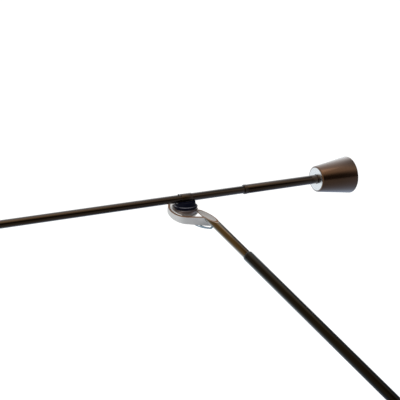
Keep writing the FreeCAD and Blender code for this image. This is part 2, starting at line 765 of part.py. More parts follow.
def hook_outline(sketch):
    """Outline of the bent strip: round the ball, then straight off to the rod."""
    inner = hook_radius - hook_strip
    lead = math.radians(hook_turn.value)
    leave = lead - math.pi / 2
    end = math.radians(hook_end.value)
    origin = Vector(0, 0, 0)

    def polar(radius, angle):
        return Vector(radius * math.cos(angle), radius * math.sin(angle), 0)

    ahead = polar(leg_length.value, lead)
    arcs = []
    for radius in (hook_radius, inner):
        ring = Part.Circle(origin, Vector(0, 0, 1), radius.value)
        arc = sketch.addGeometry(Part.ArcOfCircle(ring, end, leave + 2 * math.pi))
        sketch.addConstraint(Sketcher.Constraint("Coincident", arc, 3, -1, 1))
        index = sketch.addConstraint(Sketcher.Constraint("Radius", arc, radius.value))
        sketch.setExpression("Constraints[%d]" % index, radius.text)
        arcs.append(arc)
    outer_leg = sketch.addGeometry(Part.LineSegment(
        polar(hook_radius.value, leave), polar(hook_radius.value, leave) + ahead))
    inner_leg = sketch.addGeometry(Part.LineSegment(
        polar(inner.value, leave), polar(inner.value, leave) + ahead))
    leg_end = sketch.addGeometry(Part.LineSegment(
        polar(hook_radius.value, leave) + ahead, polar(inner.value, leave) + ahead))
    free_end = sketch.addGeometry(Part.LineSegment(polar(inner.value, end), polar(hook_radius.value, end)))
    sketch.addConstraint(Sketcher.Constraint("Tangent", arcs[0], 2, outer_leg, 1))
    sketch.addConstraint(Sketcher.Constraint("Tangent", arcs[1], 2, inner_leg, 1))
    sketch.addConstraint(Sketcher.Constraint("Coincident", outer_leg, 2, leg_end, 1))
    sketch.addConstraint(Sketcher.Constraint("Coincident", inner_leg, 2, leg_end, 2))
    sketch.addConstraint(Sketcher.Constraint("Perpendicular", outer_leg, leg_end))
    sketch.addConstraint(Sketcher.Constraint("Coincident", arcs[1], 1, free_end, 1))
    sketch.addConstraint(Sketcher.Constraint("Coincident", arcs[0], 1, free_end, 2))
    sketch.addConstraint(Sketcher.Constraint("PointOnObject", -1, 1, free_end))
    index = sketch.addConstraint(Sketcher.Constraint("Distance", outer_leg, leg_length.value))
    sketch.setExpression("Constraints[%d]" % index, leg_length.text)
    index = sketch.addConstraint(Sketcher.Constraint("Angle", outer_leg, lead))
    sketch.setExpression("Constraints[%d]" % index, "%s * 1 deg" % hook_turn.text)
    index = sketch.addConstraint(Sketcher.Constraint("Angle", free_end, end))
    sketch.setExpression("Constraints[%d]" % index, "%s * 1 deg" % hook_end.text)


def eye_hook():
    """The rod's end: a strip bent round the ball, joined to a rod that the flat top cuts off
    at a slant, so that its section shows as a long oval."""
    body = new_body("eye_hook")
    pad(body, "strip", "XY_Plane", hook_outline, hook_height * 2, rise=-facet_drop, back=True)
    slope = math.tan(math.radians(hook_flare.value))
    reach = trim_width.value

    def below(sketch):
        level = facet_drop + hook_height
        outline(sketch, [
            (-reach, -(level - slope * reach)), (-reach, -(level + reach)),
            (reach, -(level + reach)), (reach, -(level + slope * reach))])

    pocket(body, "lower_edge", "XZ_Plane", below)
    rod = body.newObject("PartDesign::AdditiveCylinder", "slant_rod")
    lie = Rotation(Vector(0, 1, 0), 90 + facet_angle.value)
    axis_point = hook_frame.inverse().multVec(low_frame.multVec(Vector(-arm_reach.value, 0, 0)))
    rod.Radius = tip_radius.value
    rod.setExpression("Radius", tip_radius.text)
    rod.Height = tip_length.value
    rod.setExpression("Height", tip_length.text)
    rod.Placement = Placement(axis_point, lie)
    doc.recompute()
    spigot = body.newObject("PartDesign::AdditiveCylinder", "spigot")
    spigot_radius = low_radius - low_wall - pin_gap
    spigot.Radius = spigot_radius.value
    spigot.setExpression("Radius", spigot_radius.text)
    spigot.Height = (tip_length + tip_spigot).value
    spigot.setExpression("Height", (tip_length + tip_spigot).text)
    spigot.Placement = rod.Placement
    doc.recompute()
    top = body.newObject("PartDesign::SubtractiveBox", "flat_top")
    top.Length, top.Width, top.Height = trim_length.value, reach, reach
    top.Placement = shift(-20, -20 + axis_point.y, -facet_drop.value)
    doc.recompute()
    hollow = body.newObject("PartDesign::SubtractiveSphere", "ball_room")
    room = seat_inside
    hollow.Radius = room.value
    hollow.setExpression("Radius", room.text)
    doc.recompute()
    finished(body, hook_frame)


seat_inside = ball_radius + running_gap * 2 + cup_shell
seat_outside = seat_inside + seat_shell


def on_sphere(radius, drop):
    """Distance from the axis of a sphere's point that lies this far below its centre."""
    return root(radius * radius - drop * drop)


def ball_seat():
    """A bowl under the ball, with a cheek that lines the inside of the bent strip."""
    body = new_body("ball_seat")
    top = facet_drop + seat_top
    bottom = facet_drop + hook_height - 0.6
    rim = hook_radius - hook_strip
    revolve(body, "bowl", [
        (on_sphere(seat_inside, seat_bowl), -seat_bowl, -seat_inside),
        (seat_drain, -on_sphere(seat_inside, seat_drain)),
        (seat_drain, -on_sphere(seat_outside, seat_drain), seat_outside),
        (on_sphere(seat_outside, seat_bowl), -seat_bowl)])
    sketch = new_sketch(body, "cheek_profile")
    outline(sketch, [
        (rim, -top), (on_sphere(seat_inside, top), -top, -seat_inside),
        (on_sphere(seat_inside, bottom), -bottom), (rim, -bottom)])
    feature = body.newObject("PartDesign::Revolution", "cheek")
    feature.Profile = sketch
    feature.ReferenceAxis = (sketch, ["V_Axis"])
    feature.Angle = 172.0
    doc.recompute()
    finished(body, hook_frame.multiply(turn(Vector(0, 0, 1), hook_end.value)))


def on_bowl(across, along):
    """A point on the seat bowl's underside, and one straight out from it."""
    place = Vector(across, along, -math.sqrt(seat_outside.value ** 2 - across ** 2 - along ** 2))
    return place, place * 1.16


def on_rod(reach, angle):
    """A point on the underside of the rod's tip, and one straight out from it."""
    axis_point = hook_frame.inverse().multVec(low_frame.multVec(Vector(-arm_reach.value, 0, 0)))
    slant = Rotation(Vector(0, 1, 0), facet_angle.value)
    side = math.radians(angle)
    out = slant.multVec(Vector(0, -math.sin(side), -math.cos(side)))
    centre = axis_point + slant.multVec(Vector(reach, 0, 0))
    return centre + out * (tip_radius.value + 2.2), centre + out * tip_radius.value


def joint_lead():
    """Two thin insulated strands, held at both ends, that loop from the seat to the rod."""
    solids = []
    routes = (
        [*on_bowl(9.5, -3.0), Vector(18.5, -3.2, -14.2), Vector(27, -2, -13.2), *on_rod(36.5, 60)],
        [*on_bowl(10.5, 0.0), Vector(19, 0.3, -14.5), Vector(26, 1.2, -14.5), *on_rod(35.0, 35)])
    for points in routes:
        edges = []
        last = points[0]
        for before, corner, after in zip(points, points[1:], points[2:]):
            back = before - corner
            on = after - corner
            cut = 0.42 * min(back.Length, on.Length)
            start = corner + back.normalize() * cut
            stop = corner + on.normalize() * cut
            half = back.getAngle(on) / 2
            inward = ((start + stop) * 0.5 - corner).normalize()
            centre = corner + inward * (cut / math.cos(half))
            middle = centre - inward * (cut * math.tan(half))
            edges.append(Part.LineSegment(last, start).toShape())
            edges.append(Part.Arc(start, middle, stop).toShape())
            last = stop
        edges.append(Part.LineSegment(last, points[-1]).toShape())
        ring = Part.Circle(points[0], points[1] - points[0], lead_radius.value).toShape()
        solids.append(Part.Wire(edges).makePipeShell([Part.Wire([ring])], True, False))
    feature_of("joint_lead", Part.makeCompound(solids), hook_frame)


# ---- ball joint --------------------------------------------------------------------------------

def seat_cup():
    """The thin slip cup between the half ball and its seat."""
    inside = ball_radius + running_gap
    outside = inside + cup_shell
    turned("seat_cup", [
        (on_sphere(inside, cup_top), -cup_top, -inside), (seat_drain, -on_sphere(inside, seat_drain)),
        (seat_drain, -on_sphere(outside, seat_drain), outside),
        (on_sphere(outside, cup_top), -cup_top)], ball_frame)


def half_ball():
    bore = stud_radius + pin_gap
    turned("half_ball", [
        (bore, -nut_level), (nut_room, -nut_level),
        (nut_room, -on_sphere(ball_radius, nut_room), ball_radius),
        (on_sphere(ball_radius, ball_cut), -ball_cut), (bore, -ball_cut)], ball_frame)


def swivel_bolt():
    """The bolt that the disc turns with, its wave washer and its nut in the ball's hollow."""
    washer_top = nut_level + running_gap
    washer = 0.6
    nut_top = washer_top + washer
    nut = 2.0
    turned("ball_bolt", [
        (0, -(nut_top + nut)), (stud_radius, -(nut_top + nut)),
        (stud_radius, -(ball_cut - running_gap - stud_bite)),
        (0, -(ball_cut - running_gap - stud_bite))], ball_frame)
    turned("ball_spring", [
        (stud_radius, -nut_top), (nut_room - 1.2, -nut_top), (nut_room - 0.6, -(nut_top - 0.2)),
        (nut_room - 0.6, -washer_top), (stud_radius, -washer_top)], ball_frame)
    turned("ball_nut", [
        (stud_radius, -(nut_top + nut)), (3.4, -(nut_top + nut)), (3.9, -(nut_top + nut - 0.5)),
        (3.9, -nut_top), (stud_radius, -nut_top)], ball_frame)


# ---- upper arm ---------------------------------------------------------------------------------

up_axis = up_frame.multiply(along_x)


def swivel_disc():
    low = ball_cut - running_gap
    high = disc_step + 0.1
    turned("swivel_disc", [
        (0, -(low - stud_bite)), (stud_radius, -(low - stud_bite)), (stud_radius, -low),
        (disc_radius - disc_taper, -low), (disc_radius, -(high + 0.8)),
        (disc_radius - 0.4, -high), (disc_land, -high), (disc_land - 0.2, -0.1),
        (boss_foot + 0.2, -0.1), (boss_foot, -high), (0, -high)], ball_frame)


def saddle():
    """A round boss on the disc that the arm passes over, with a thin sleeve round the arm."""
    body = new_body("saddle")
    foot = arm_rise + disc_step + 0.1
    revolve(body, "boss", [
        (0, -foot), (boss_foot, -foot), (boss_foot, -(foot - disc_step)),
        (boss_head, -(arm_rise - boss_rise + 0.6)), (boss_head - 0.6, -(arm_rise - boss_rise)),
        (0, -(arm_rise - boss_rise))])
    pad(body, "sleeve", "YZ_Plane", lambda sketch: circle(sketch, 0, 0, up_radius + saddle_wall),
        saddle_front + saddle_back, rise=-saddle_front)
    pocket(body, "arm_bore", "YZ_Plane", lambda sketch: circle(sketch, 0, 0, up_radius))
    finished(body, up_frame)


def upper_tubes():
    inner = up_radius - up_wall
    body = new_body("arm_tube")
    revolve(body, "tube_turn", [
        (inner, -up_front), (up_radius, -up_front), (up_radius, rear_reach - 2),
        (inner, rear_reach - 2)])
    drill(body, "stop_hole", stop_radius, up_radius,
          Placement(Vector(0, 0, -stop_place.value), Rotation(Vector(0, 1, 0), -90)))
    finished(body, up_axis)
    bead("rear_bead", up_axis, rear_radius, up_radius, rear_start - bead_width)
    turned("rear_sleeve", [
        (up_radius, rear_start), (rear_radius, rear_start), (rear_radius, rear_reach), (up_radius, rear_reach)], up_axis)
    turned("rear_plug", [
        (0, rear_reach - core_reach), (inner, rear_reach - core_reach), (inner, rear_reach - 2),
        (up_radius, rear_reach - 2), (up_radius, rear_reach), (rear_radius, rear_reach),
        (rear_radius - 0.8, rear_reach + 0.9), (0, rear_reach + 1.2)], up_axis)
    weight("upper_weight", up_axis, rear_radius + pin_gap, cone_start, cone_length, cone_small, cone_large)


def stop_pin():
    turned("stop_pin", [(0, up_radius - up_wall), (stop_radius, up_radius - up_wall),
                        (stop_radius, up_radius + 0.7), (0, up_radius + 0.9)],
           up_frame.multiply(shift(-stop_place.value, 0, 0)))


# ---- head --------------------------------------------------------------------------------------

def head_ferrule():
    start = -(up_front + 2)
    turned("head_ferrule", [
        (up_radius, start), (ferrule_radius, start), (ferrule_radius, start + ferrule_length - 1.5),
        (up_radius + 0.4, start + ferrule_length), (up_radius, start + ferrule_length)], up_axis)


def knuckle():
    body = new_body("head_knuckle")
    shoulder = knuckle_reach - 2 - running_gap
    revolve(body, "knuckle_turn", [
        (0, -(knuckle_radius - 0.5)), (knuckle_radius - 2.5, -(knuckle_radius - 0.5)), (knuckle_radius, -(knuckle_radius - 3)),
        (knuckle_radius, shoulder - 2), (ferrule_radius, shoulder), (up_radius - up_wall - pin_gap, shoulder),
        (up_radius - up_wall - pin_gap, shoulder + 14), (0, shoulder + 14)])

    def slot(sketch):
        half = knuckle_slot / 2
        slot_roof = knuckle_radius + slot_extra
        outline(sketch, [(-half, -(knuckle_radius + 1)), (half, -(knuckle_radius + 1)),
                         (half, slot_roof), (-half, slot_roof)])

    pocket(body, "knuckle_slot_cut", "YZ_Plane", slot)
    pocket(body, "knuckle_bore", "XZ_Plane", lambda sketch: circle(sketch, 0, 0, tilt_pin))
    finished(body, head_frame.multiply(along_x))


def head_pin():
    half = knuckle_radius
    turned("head_pin", [(0, -half), (tilt_pin, -half), (tilt_pin, half), (0, half)],
           head_frame.multiply(across_y))


shade_top = -neck_drop
shade_foot = shade_top - shade_height


shade_slope = (shade_large - shade_small) / shade_height
inner_slope = (shade_large - shade_small) / (shade_height - shade_wall)


def grip_place(radius):
    """A place on the shade's side, this far out from its axis, with Z outwards."""
    level = shade_foot + grip_level
    return Placement(Vector(-radius.value, 0, level.value), Rotation(Vector(0, 1, 0), -90))


grip_inner = shade_large - shade_wall - inner_slope * grip_level - 0.5


def shade():
    body = new_body("shade")
    inner_top = shade_small - shade_wall
    inner_foot = shade_large - shade_wall
    under = shade_top - shade_wall
    shell = revolve(body, "shade_shell", [
        (3, under), (inner_top, under), (inner_foot, shade_foot), (shade_large, shade_foot),
        (shade_small, shade_top), (3, shade_top)])
    dress(body, "shade_round", "Fillet", ring_edges(shell.Shape, shade_small.value, shade_top.value),
          shade_wall)
    hole = pocket(body, "vent", "XY_Plane", lambda sketch: circle(sketch, vent_circle, 0, vent_radius),
                  shade_wall + 2, rise=shade_top + 1)
    pattern(body, "vents", hole, vent_count)
    drill(body, "grip_hole", grip_stem, shade_wall * 4, grip_place(grip_inner))
    finished(body, head_frame)


def shade_neck():
    body = new_body("shade_neck")
    thick = knuckle_slot - running_gap * 2

    def plate(sketch):
        lug = tilt_pin + 2.4
        outline(sketch, [
            (lug, 0, lug * 1.0001), (-lug, 0), (-lug, -neck_drop + 2), (-6, -neck_drop),
            (6, -neck_drop), (lug, -neck_drop + 2)])

    pad(body, "neck_plate", "XZ_Plane", plate, thick, middle=True)
    pocket(body, "neck_bore", "XZ_Plane", lambda sketch: circle(sketch, 0, 0, tilt_pin + pin_gap))
    pad(body, "neck_stud", "XY_Plane", lambda sketch: circle(sketch, 0, 0, 3),
        shade_wall + 6, rise=shade_top, back=True)
    finished(body, head_frame)


def head_inside():
    under = shade_top - shade_wall
    holder_low = under - holder_height
    turned("lamp_holder", [
        (3, holder_low + 4), (3, under), (holder_radius, under), (holder_radius, holder_low + 3),
        (holder_radius - 1.5, holder_low), (0, holder_low), (0, holder_low + 4)], head_frame)
    glass_top = shade_foot + glass_inset + glass_sheet
    refl_foot = glass_top + 0.0
    outer_foot = shade_large - shade_wall - inner_slope * glass_inset - 1.4
    turned("reflector", [
        (holder_radius, holder_low + 7), (reflector_top, holder_low + 7), (outer_foot - 1, refl_foot),
        (outer_foot - 1 - reflector_sheet, refl_foot), (reflector_top - reflector_sheet, holder_low + 7 - reflector_sheet),
        (holder_radius, holder_low + 7 - reflector_sheet)], head_frame)
    turned("front_glass", [
        (0, glass_top - glass_sheet), (outer_foot - 0.6, glass_top - glass_sheet),
        (outer_foot - 0.6, glass_top), (0, glass_top)], head_frame)
    wall_low = shade_large - shade_wall
    wall_glass = wall_low - inner_slope * glass_inset
    turned("glass_ring", [
        (wall_low - rim_band, shade_foot), (wall_low, shade_foot), (wall_glass, shade_foot + glass_inset),
        (wall_glass - rim_band, shade_foot + glass_inset)], head_frame)
    pins = 3.0
    body = new_body("bulb")
    neck = holder_low
    revolve(body, "bulb_turn", [
        (0, neck - bulb_length), (bulb_radius * 0.45, neck - bulb_length + 0.8),
        (bulb_radius, neck - bulb_length + bulb_radius), (bulb_radius, neck - pins),
        (bulb_radius * 0.8, neck), (0, neck)])
    finished(body, head_frame)


def head_grip():
    wall = shade_large - shade_slope * grip_level - grip_inner
    end = wall + grip_reach
    turned("head_grip", [
        (0, 0), (grip_stem, 0), (grip_stem, wall + grip_reach * 0.35),
        (grip_radius, wall + grip_reach * 0.4), (grip_radius, end - 1.5),
        (grip_radius - 1.5, end), (0, end)], head_frame.multiply(grip_place(grip_inner)))


# ---- the lamp ------------------------------------------------------------------------------------

base_pad()
base_plate()
base_housing()
base_screws()
transformer()
bearing_bush()
cable_gland()
dimmer()
post()
fork()
fork_fittings()
lower_hub()
lower_tube()
lower_tail()
eye_hook()
ball_seat()
joint_lead()
seat_cup()
half_ball()
swivel_bolt()
swivel_disc()
saddle()
upper_tubes()
stop_pin()
head_ferrule()
knuckle()
head_pin()
shade()
shade_neck()
head_inside()
head_grip()
doc.recompute()

for item in doc.Objects:
    if "Invalid" in item.State or "Error" in item.State:
        raise RuntimeError("%s is in state %s" % (item.Label, item.State))
os.makedirs("parts", exist_ok=True)
for part in sub_parts:
    if part.Shape.isNull() or not part.Shape.isValid():
        raise RuntimeError("%s has no sound shape" % part.Label)
    print(part.Label, len(part.Shape.Solids), round(part.Shape.Volume, 1))
    part.Shape.exportStep("parts/%s.step" % part.Label)
print(len(sub_parts), "sub-parts")
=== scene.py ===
import json
import math

import bmesh
import bpy
from mathutils import Matrix, Vector


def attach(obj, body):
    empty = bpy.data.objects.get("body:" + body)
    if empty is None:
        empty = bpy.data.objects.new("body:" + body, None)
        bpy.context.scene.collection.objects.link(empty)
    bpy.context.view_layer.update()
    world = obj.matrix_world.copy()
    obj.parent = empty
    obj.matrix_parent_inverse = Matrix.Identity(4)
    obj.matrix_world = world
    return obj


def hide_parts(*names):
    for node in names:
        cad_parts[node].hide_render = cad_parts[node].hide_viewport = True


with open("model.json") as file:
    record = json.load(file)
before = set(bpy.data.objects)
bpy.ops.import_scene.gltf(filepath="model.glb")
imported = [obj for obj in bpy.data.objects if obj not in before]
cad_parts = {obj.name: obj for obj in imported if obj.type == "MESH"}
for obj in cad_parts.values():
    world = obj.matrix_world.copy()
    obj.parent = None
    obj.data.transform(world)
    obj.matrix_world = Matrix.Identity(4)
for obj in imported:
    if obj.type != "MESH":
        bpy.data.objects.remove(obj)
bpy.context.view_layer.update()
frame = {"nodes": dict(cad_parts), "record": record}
nodes = frame["nodes"]
bodyOf = {name: body for body, names in frame["record"]["behaviour"]["bodies"].items() for name in names}
slotOf = {entry["node"]: entry["material_slot"] for entry in frame["record"]["subparts"]}
print("frame loaded,", len(nodes), "nodes")


# places of the lamp's frames, as in the model, in metres and degrees
lampFrames = {
    "pivotHeight": 0.236, "armHeading": -59.6, "armPitch": 35.2,  # the post's fork and the lower arm
    "armReach": 0.340, "ballSide": 0.005, "ballDrop": 0.00543,  # lower arm: pivot to the ball joint
    "facetRoll": 11.1, "facetAngle": 18.8,  # slant of the hook's flat top
    "armRise": 0.007, "headReach": 0.410,  # upper arm over the ball, and its head pin
}


def turnAbout(axis, degrees):
    return Matrix.Rotation(math.radians(degrees), 4, axis)


def shiftBy(across, along, rise):
    return Matrix.Translation((across, along, rise))


alongX = turnAbout("Y", 90)  # lays a piece that was turned about Z along +X
baseFrame = Matrix.Identity(4)
postFrame = shiftBy(0, 0, lampFrames["pivotHeight"]) @ turnAbout("Z", lampFrames["armHeading"])
lowFrame = postFrame @ turnAbout("Y", lampFrames["armPitch"])
hookFrame = (lowFrame @ shiftBy(-lampFrames["armReach"], -lampFrames["ballSide"], -lampFrames["ballDrop"])
             @ turnAbout("X", lampFrames["facetRoll"]) @ turnAbout("Y", -lampFrames["facetAngle"]))
ballFrame = Matrix.Translation(hookFrame.translation)
upFrame = ballFrame @ shiftBy(0, 0, lampFrames["armRise"])
headFrame = upFrame @ shiftBy(-lampFrames["headReach"], 0, 0)
lowAxis = lowFrame @ alongX
upAxis = upFrame @ alongX
rodLine = lowFrame.to_3x3() @ Vector((1, 0, 0))
pivotLine = postFrame.to_3x3() @ Vector((0, 1, 0))


# the camera
cameraSettings = {
    "lens": 88.2,  # 980 px over a 400 px wide frame
    "sensor": 36.0,
    "clip": (0.01, 60),
    "elevation": 16.5,
    "azimuth": -27.2,
    "distance": 0.986,
    "aimAt": (185.5, 197.8),  # where the arm's line over the joint falls in the frame
    "frameSize": 400,
    "focalPixels": 980.0,
}


def placeCamera(settings):
    elevation = math.radians(settings["elevation"])
    azimuth = math.radians(settings["azimuth"])
    back = Vector((math.sin(azimuth) * math.cos(elevation), -math.cos(azimuth) * math.cos(elevation),
                   math.sin(elevation)))
    right = Vector((math.cos(azimuth), math.sin(azimuth), 0))
    up = back.cross(right)
    half = settings["frameSize"] / 2
    perPixel = settings["distance"] / settings["focalPixels"]
    acrossShift = (settings["aimAt"][0] - half) * perPixel
    upShift = (half - settings["aimAt"][1]) * perPixel
    place = upFrame.translation + back * settings["distance"] - right * acrossShift - up * upShift
    data = bpy.data.cameras.new("camera")
    data.lens = settings["lens"]
    data.sensor_width = settings["sensor"]
    data.clip_start, data.clip_end = settings["clip"]
    camera = bpy.data.objects.new("camera", data)
    turned = Matrix((right, up, back)).transposed().to_4x4()
    camera.matrix_world = Matrix.Translation(place) @ turned
    bpy.context.scene.collection.objects.link(camera)
    bpy.context.scene.camera = camera


placeCamera(cameraSettings)
print("camera placed")


# shader groups that several finishes share
def newGroup(name, inputs, outputs):
    group = bpy.data.node_groups.new(name, "ShaderNodeTree")
    for label, kind, value in inputs:
        socket = group.interface.new_socket(label, in_out="INPUT", socket_type=kind)
        socket.default_value = value
    for label in outputs:
        group.interface.new_socket(label, in_out="OUTPUT", socket_type="NodeSocketFloat")
    source = group.nodes.new("NodeGroupInput")
    result = group.nodes.new("NodeGroupOutput")
    return group, source, result


def feed(tree, socket, value):
    # links another node's socket, or sets a plain number or colour
    if hasattr(value, "links"):
        tree.links.new(value, socket)
    else:
        socket.default_value = value


def mathNode(tree, kind, first, second=None, clamp=False):
    node = tree.nodes.new("ShaderNodeMath")
    node.operation = kind
    node.use_clamp = clamp
    feed(tree, node.inputs[0], first)
    if second is not None:
        feed(tree, node.inputs[1], second)
    return node.outputs[0]


def vectorNode(tree, kind, first, second=None, factor=None):
    node = tree.nodes.new("ShaderNodeVectorMath")
    node.operation = kind
    feed(tree, node.inputs[0], first)
    if second is not None:
        feed(tree, node.inputs[1], second)
    if factor is not None:
        feed(tree, node.inputs["Scale"], factor)
    return node.outputs["Value" if kind in ("DOT_PRODUCT", "LENGTH") else "Vector"]


def noiseNode(tree, place, scale, detail):
    node = tree.nodes.new("ShaderNodeTexNoise")
    node.inputs["Detail"].default_value = detail
    tree.links.new(place, node.inputs["Vector"])
    feed(tree, node.inputs["Scale"], scale)
    return node.outputs["Fac"]


def objectPlace(tree):
    return tree.nodes.new("ShaderNodeTexCoord").outputs["Object"]


def toolMarksGroup():
    # marks of a lathe: rings round an axis, streaks along it, and broad patches in the finish
    group, source, result = newGroup("toolMarks", [
        ("Centre", "NodeSocketVector", (0, 0, 0)), ("Axis", "NodeSocketVector", (0, 0, 1)),
        ("Scale", "NodeSocketFloat", 500.0)], ["Rings", "Streaks", "Patches", "Height", "Radius"])
    away = vectorNode(group, "SUBTRACT", objectPlace(group), source.outputs["Centre"])
    height = vectorNode(group, "DOT_PRODUCT", away, source.outputs["Axis"])
    along = vectorNode(group, "SCALE", source.outputs["Axis"], factor=height)
    across = vectorNode(group, "SUBTRACT", away, along)
    radius = vectorNode(group, "LENGTH", across)
    pair = group.nodes.new("ShaderNodeCombineXYZ")
    group.links.new(height, pair.inputs["X"])
    group.links.new(radius, pair.inputs["Y"])
    scale, patchScale, squeeze = source.outputs["Scale"], 26.0, 0.02
    group.links.new(noiseNode(group, pair.outputs["Vector"], scale, detail=3), result.inputs["Rings"])
    squeezed = vectorNode(group, "ADD", across, vectorNode(group, "SCALE", along, factor=squeeze))
    group.links.new(noiseNode(group, squeezed, scale, detail=2), result.inputs["Streaks"])
    group.links.new(noiseNode(group, away, patchScale, detail=4), result.inputs["Patches"])
    group.links.new(height, result.inputs["Height"])
    group.links.new(radius, result.inputs["Radius"])
    return group


def dustGroup():
    # thin dust on what faces up
    group, source, result = newGroup("dust", [
        ("Amount", "NodeSocketFloat", 0.2), ("Scale", "NodeSocketFloat", 300.0)], ["Mask"])
    geometry = group.nodes.new("ShaderNodeNewGeometry")
    parts = group.nodes.new("ShaderNodeSeparateXYZ")
    group.links.new(geometry.outputs["Normal"], parts.inputs["Vector"])
    upward = mathNode(group, "MAXIMUM", parts.outputs["Z"], 0.0)
    grain = noiseNode(group, objectPlace(group), source.outputs["Scale"], detail=5)
    speck = mathNode(group, "MULTIPLY", upward, grain)
    film = mathNode(group, "MULTIPLY", speck, source.outputs["Amount"], clamp=True)
    group.links.new(film, result.inputs["Mask"])
    return group


def mouldGrainGroup():
    # fine grain and broad patches of a moulded or cast surface
    group, source, result = newGroup("mouldGrain", [("Scale", "NodeSocketFloat", 900.0)],
                                     ["Grain", "Patches"])
    place, patchScale = objectPlace(group), 30.0
    group.links.new(noiseNode(group, place, source.outputs["Scale"], detail=2), result.inputs["Grain"])
    group.links.new(noiseNode(group, place, patchScale, detail=3), result.inputs["Patches"])
    return group


toolMarks = toolMarksGroup()
dust = dustGroup()
mouldGrain = mouldGrainGroup()


def placeGroup(tree, group, values):
    node = tree.nodes.new("ShaderNodeGroup")
    node.node_tree = group
    for label, value in values.items():
        node.inputs[label].default_value = value
    return node


def mixColour(tree, factor, first, second):
    node = tree.nodes.new("ShaderNodeMix")
    node.data_type = "RGBA"
    feed(tree, node.inputs["Factor"], factor)
    for index, value in ((6, first), (7, second)):  # the node's colour sockets
        feed(tree, node.inputs[index], (*value, 1.0) if isinstance(value, tuple) else value)
    return node.outputs[2]


def mixNumber(tree, factor, first, second):
    node = tree.nodes.new("ShaderNodeMix")
    for index, value in ((0, factor), (2, first), (3, second)):  # its number sockets
        feed(tree, node.inputs[index], value)
    return node.outputs[0]


def mapRange(tree, value, low, high, fromLow=0.0, fromHigh=1.0):
    node = tree.nodes.new("ShaderNodeMapRange")
    tree.links.new(value, node.inputs["Value"])
    for label, number in (("From Min", fromLow), ("From Max", fromHigh), ("To Min", low), ("To Max", high)):
        node.inputs[label].default_value = number
    return node.outputs["Result"]


dustLook = {"colour": (0.5, 0.48, 0.45), "scale": 420.0}
plasticLook = {"ior": 1.5, "specular": 0.5, "softReach": 0.004}
lineDepth, grainDepth = 0.0002, 0.0001  # metres: tool marks, moulded grain
sharpStep, wideStep = 0.0001, 0.0002  # metres over which one finish turns into the next
bandScale = 1200.0


def dusted(tree, colour, amount):
    film = placeGroup(tree, dust, {"Amount": amount, "Scale": dustLook["scale"]})
    return mixColour(tree, film.outputs["Mask"], colour, dustLook["colour"])


def bumpNode(tree, height, strength, distance):
    node = tree.nodes.new("ShaderNodeBump")
    node.inputs["Strength"].default_value = strength
    node.inputs["Distance"].default_value = distance
    tree.links.new(height, node.inputs["Height"])
    return node.outputs["Normal"]


def newMaterial(name):
    material = bpy.data.materials.new(name)
    material.use_nodes = True
    tree = material.node_tree
    return material, tree, tree.nodes["Principled BSDF"]


def paintedEdgeSheen(tree, power):
    # painted sheen: the base colour turns brighter towards the edges, far more broadly than the metal's own
    # reflection does
    weight = tree.nodes.new("ShaderNodeLayerWeight")
    weight.inputs["Blend"].default_value = 0.5  # even from facing to grazing
    return mathNode(tree, "POWER", weight.outputs["Facing"], power)


def turnedMarks(tree, centre, axis, scale):
    return placeGroup(tree, toolMarks, {"Centre": tuple(centre), "Axis": tuple(axis), "Scale": scale})


def metalColour(tree, settings, marks):
    colour = mixColour(tree, marks.outputs["Patches"], settings["dark"], settings["light"])
    # towards grazing the colour turns to the rim colour, a painted sheen over the metal's real reflection
    if "rim" in settings:
        paintedSheen = paintedEdgeSheen(tree, settings["rimPower"])
        paintedSheen = mathNode(tree, "MULTIPLY", paintedSheen, settings["rimShare"], clamp=True)
        colour = mixColour(tree, paintedSheen, colour, settings["rim"])
    return dusted(tree, colour, settings["dust"])


def metalMaterial(name, settings, centre, axis):
    # plated, turned or brushed metal about one axis
    material, tree, shader = newMaterial(name)
    marks = turnedMarks(tree, centre, axis, settings["scale"])
    lines = marks.outputs[settings["marks"]]
    tree.links.new(metalColour(tree, settings, marks), shader.inputs["Base Color"])
    shader.inputs["Metallic"].default_value = 1.0
    tree.links.new(mapRange(tree, lines, *settings["rough"]), shader.inputs["Roughness"])
    tree.links.new(bumpNode(tree, lines, settings["bump"], lineDepth), shader.inputs["Normal"])
    return material


def plasticMaterial(name, settings):
    material, tree, shader = newMaterial(name)
    grain = placeGroup(tree, mouldGrain, {"Scale": settings["scale"]})
    colour = mixColour(tree, grain.outputs["Patches"], settings["dark"], settings["light"])
    tree.links.new(dusted(tree, colour, settings["dust"]), shader.inputs["Base Color"])
    tree.links.new(mapRange(tree, grain.outputs["Patches"], *settings["rough"]), shader.inputs["Roughness"])
    shader.inputs["IOR"].default_value = plasticLook["ior"]
    shader.inputs["Specular IOR Level"].default_value = settings.get("specular", plasticLook["specular"])
    shader.inputs["Subsurface Weight"].default_value = settings.get("soft", 0.0)
    shader.inputs["Subsurface Radius"].default_value = (plasticLook["softReach"],) * 3
    bumps = bumpNode(tree, grain.outputs["Grain"], settings["bump"], grainDepth)
    tree.links.new(bumps, shader.inputs["Normal"])
    return material


def glassMaterial(name, settings):
    material, tree, shader = newMaterial(name)
    shader.inputs["Base Color"].default_value = (*settings["colour"], 1)
    shader.inputs["Transmission Weight"].default_value = 1.0
    shader.inputs["IOR"].default_value = settings["ior"]
    grain = placeGroup(tree, mouldGrain, {"Scale": settings["scale"]})
    tree.links.new(mapRange(tree, grain.outputs["Patches"], *settings["rough"]), shader.inputs["Roughness"])
    return material
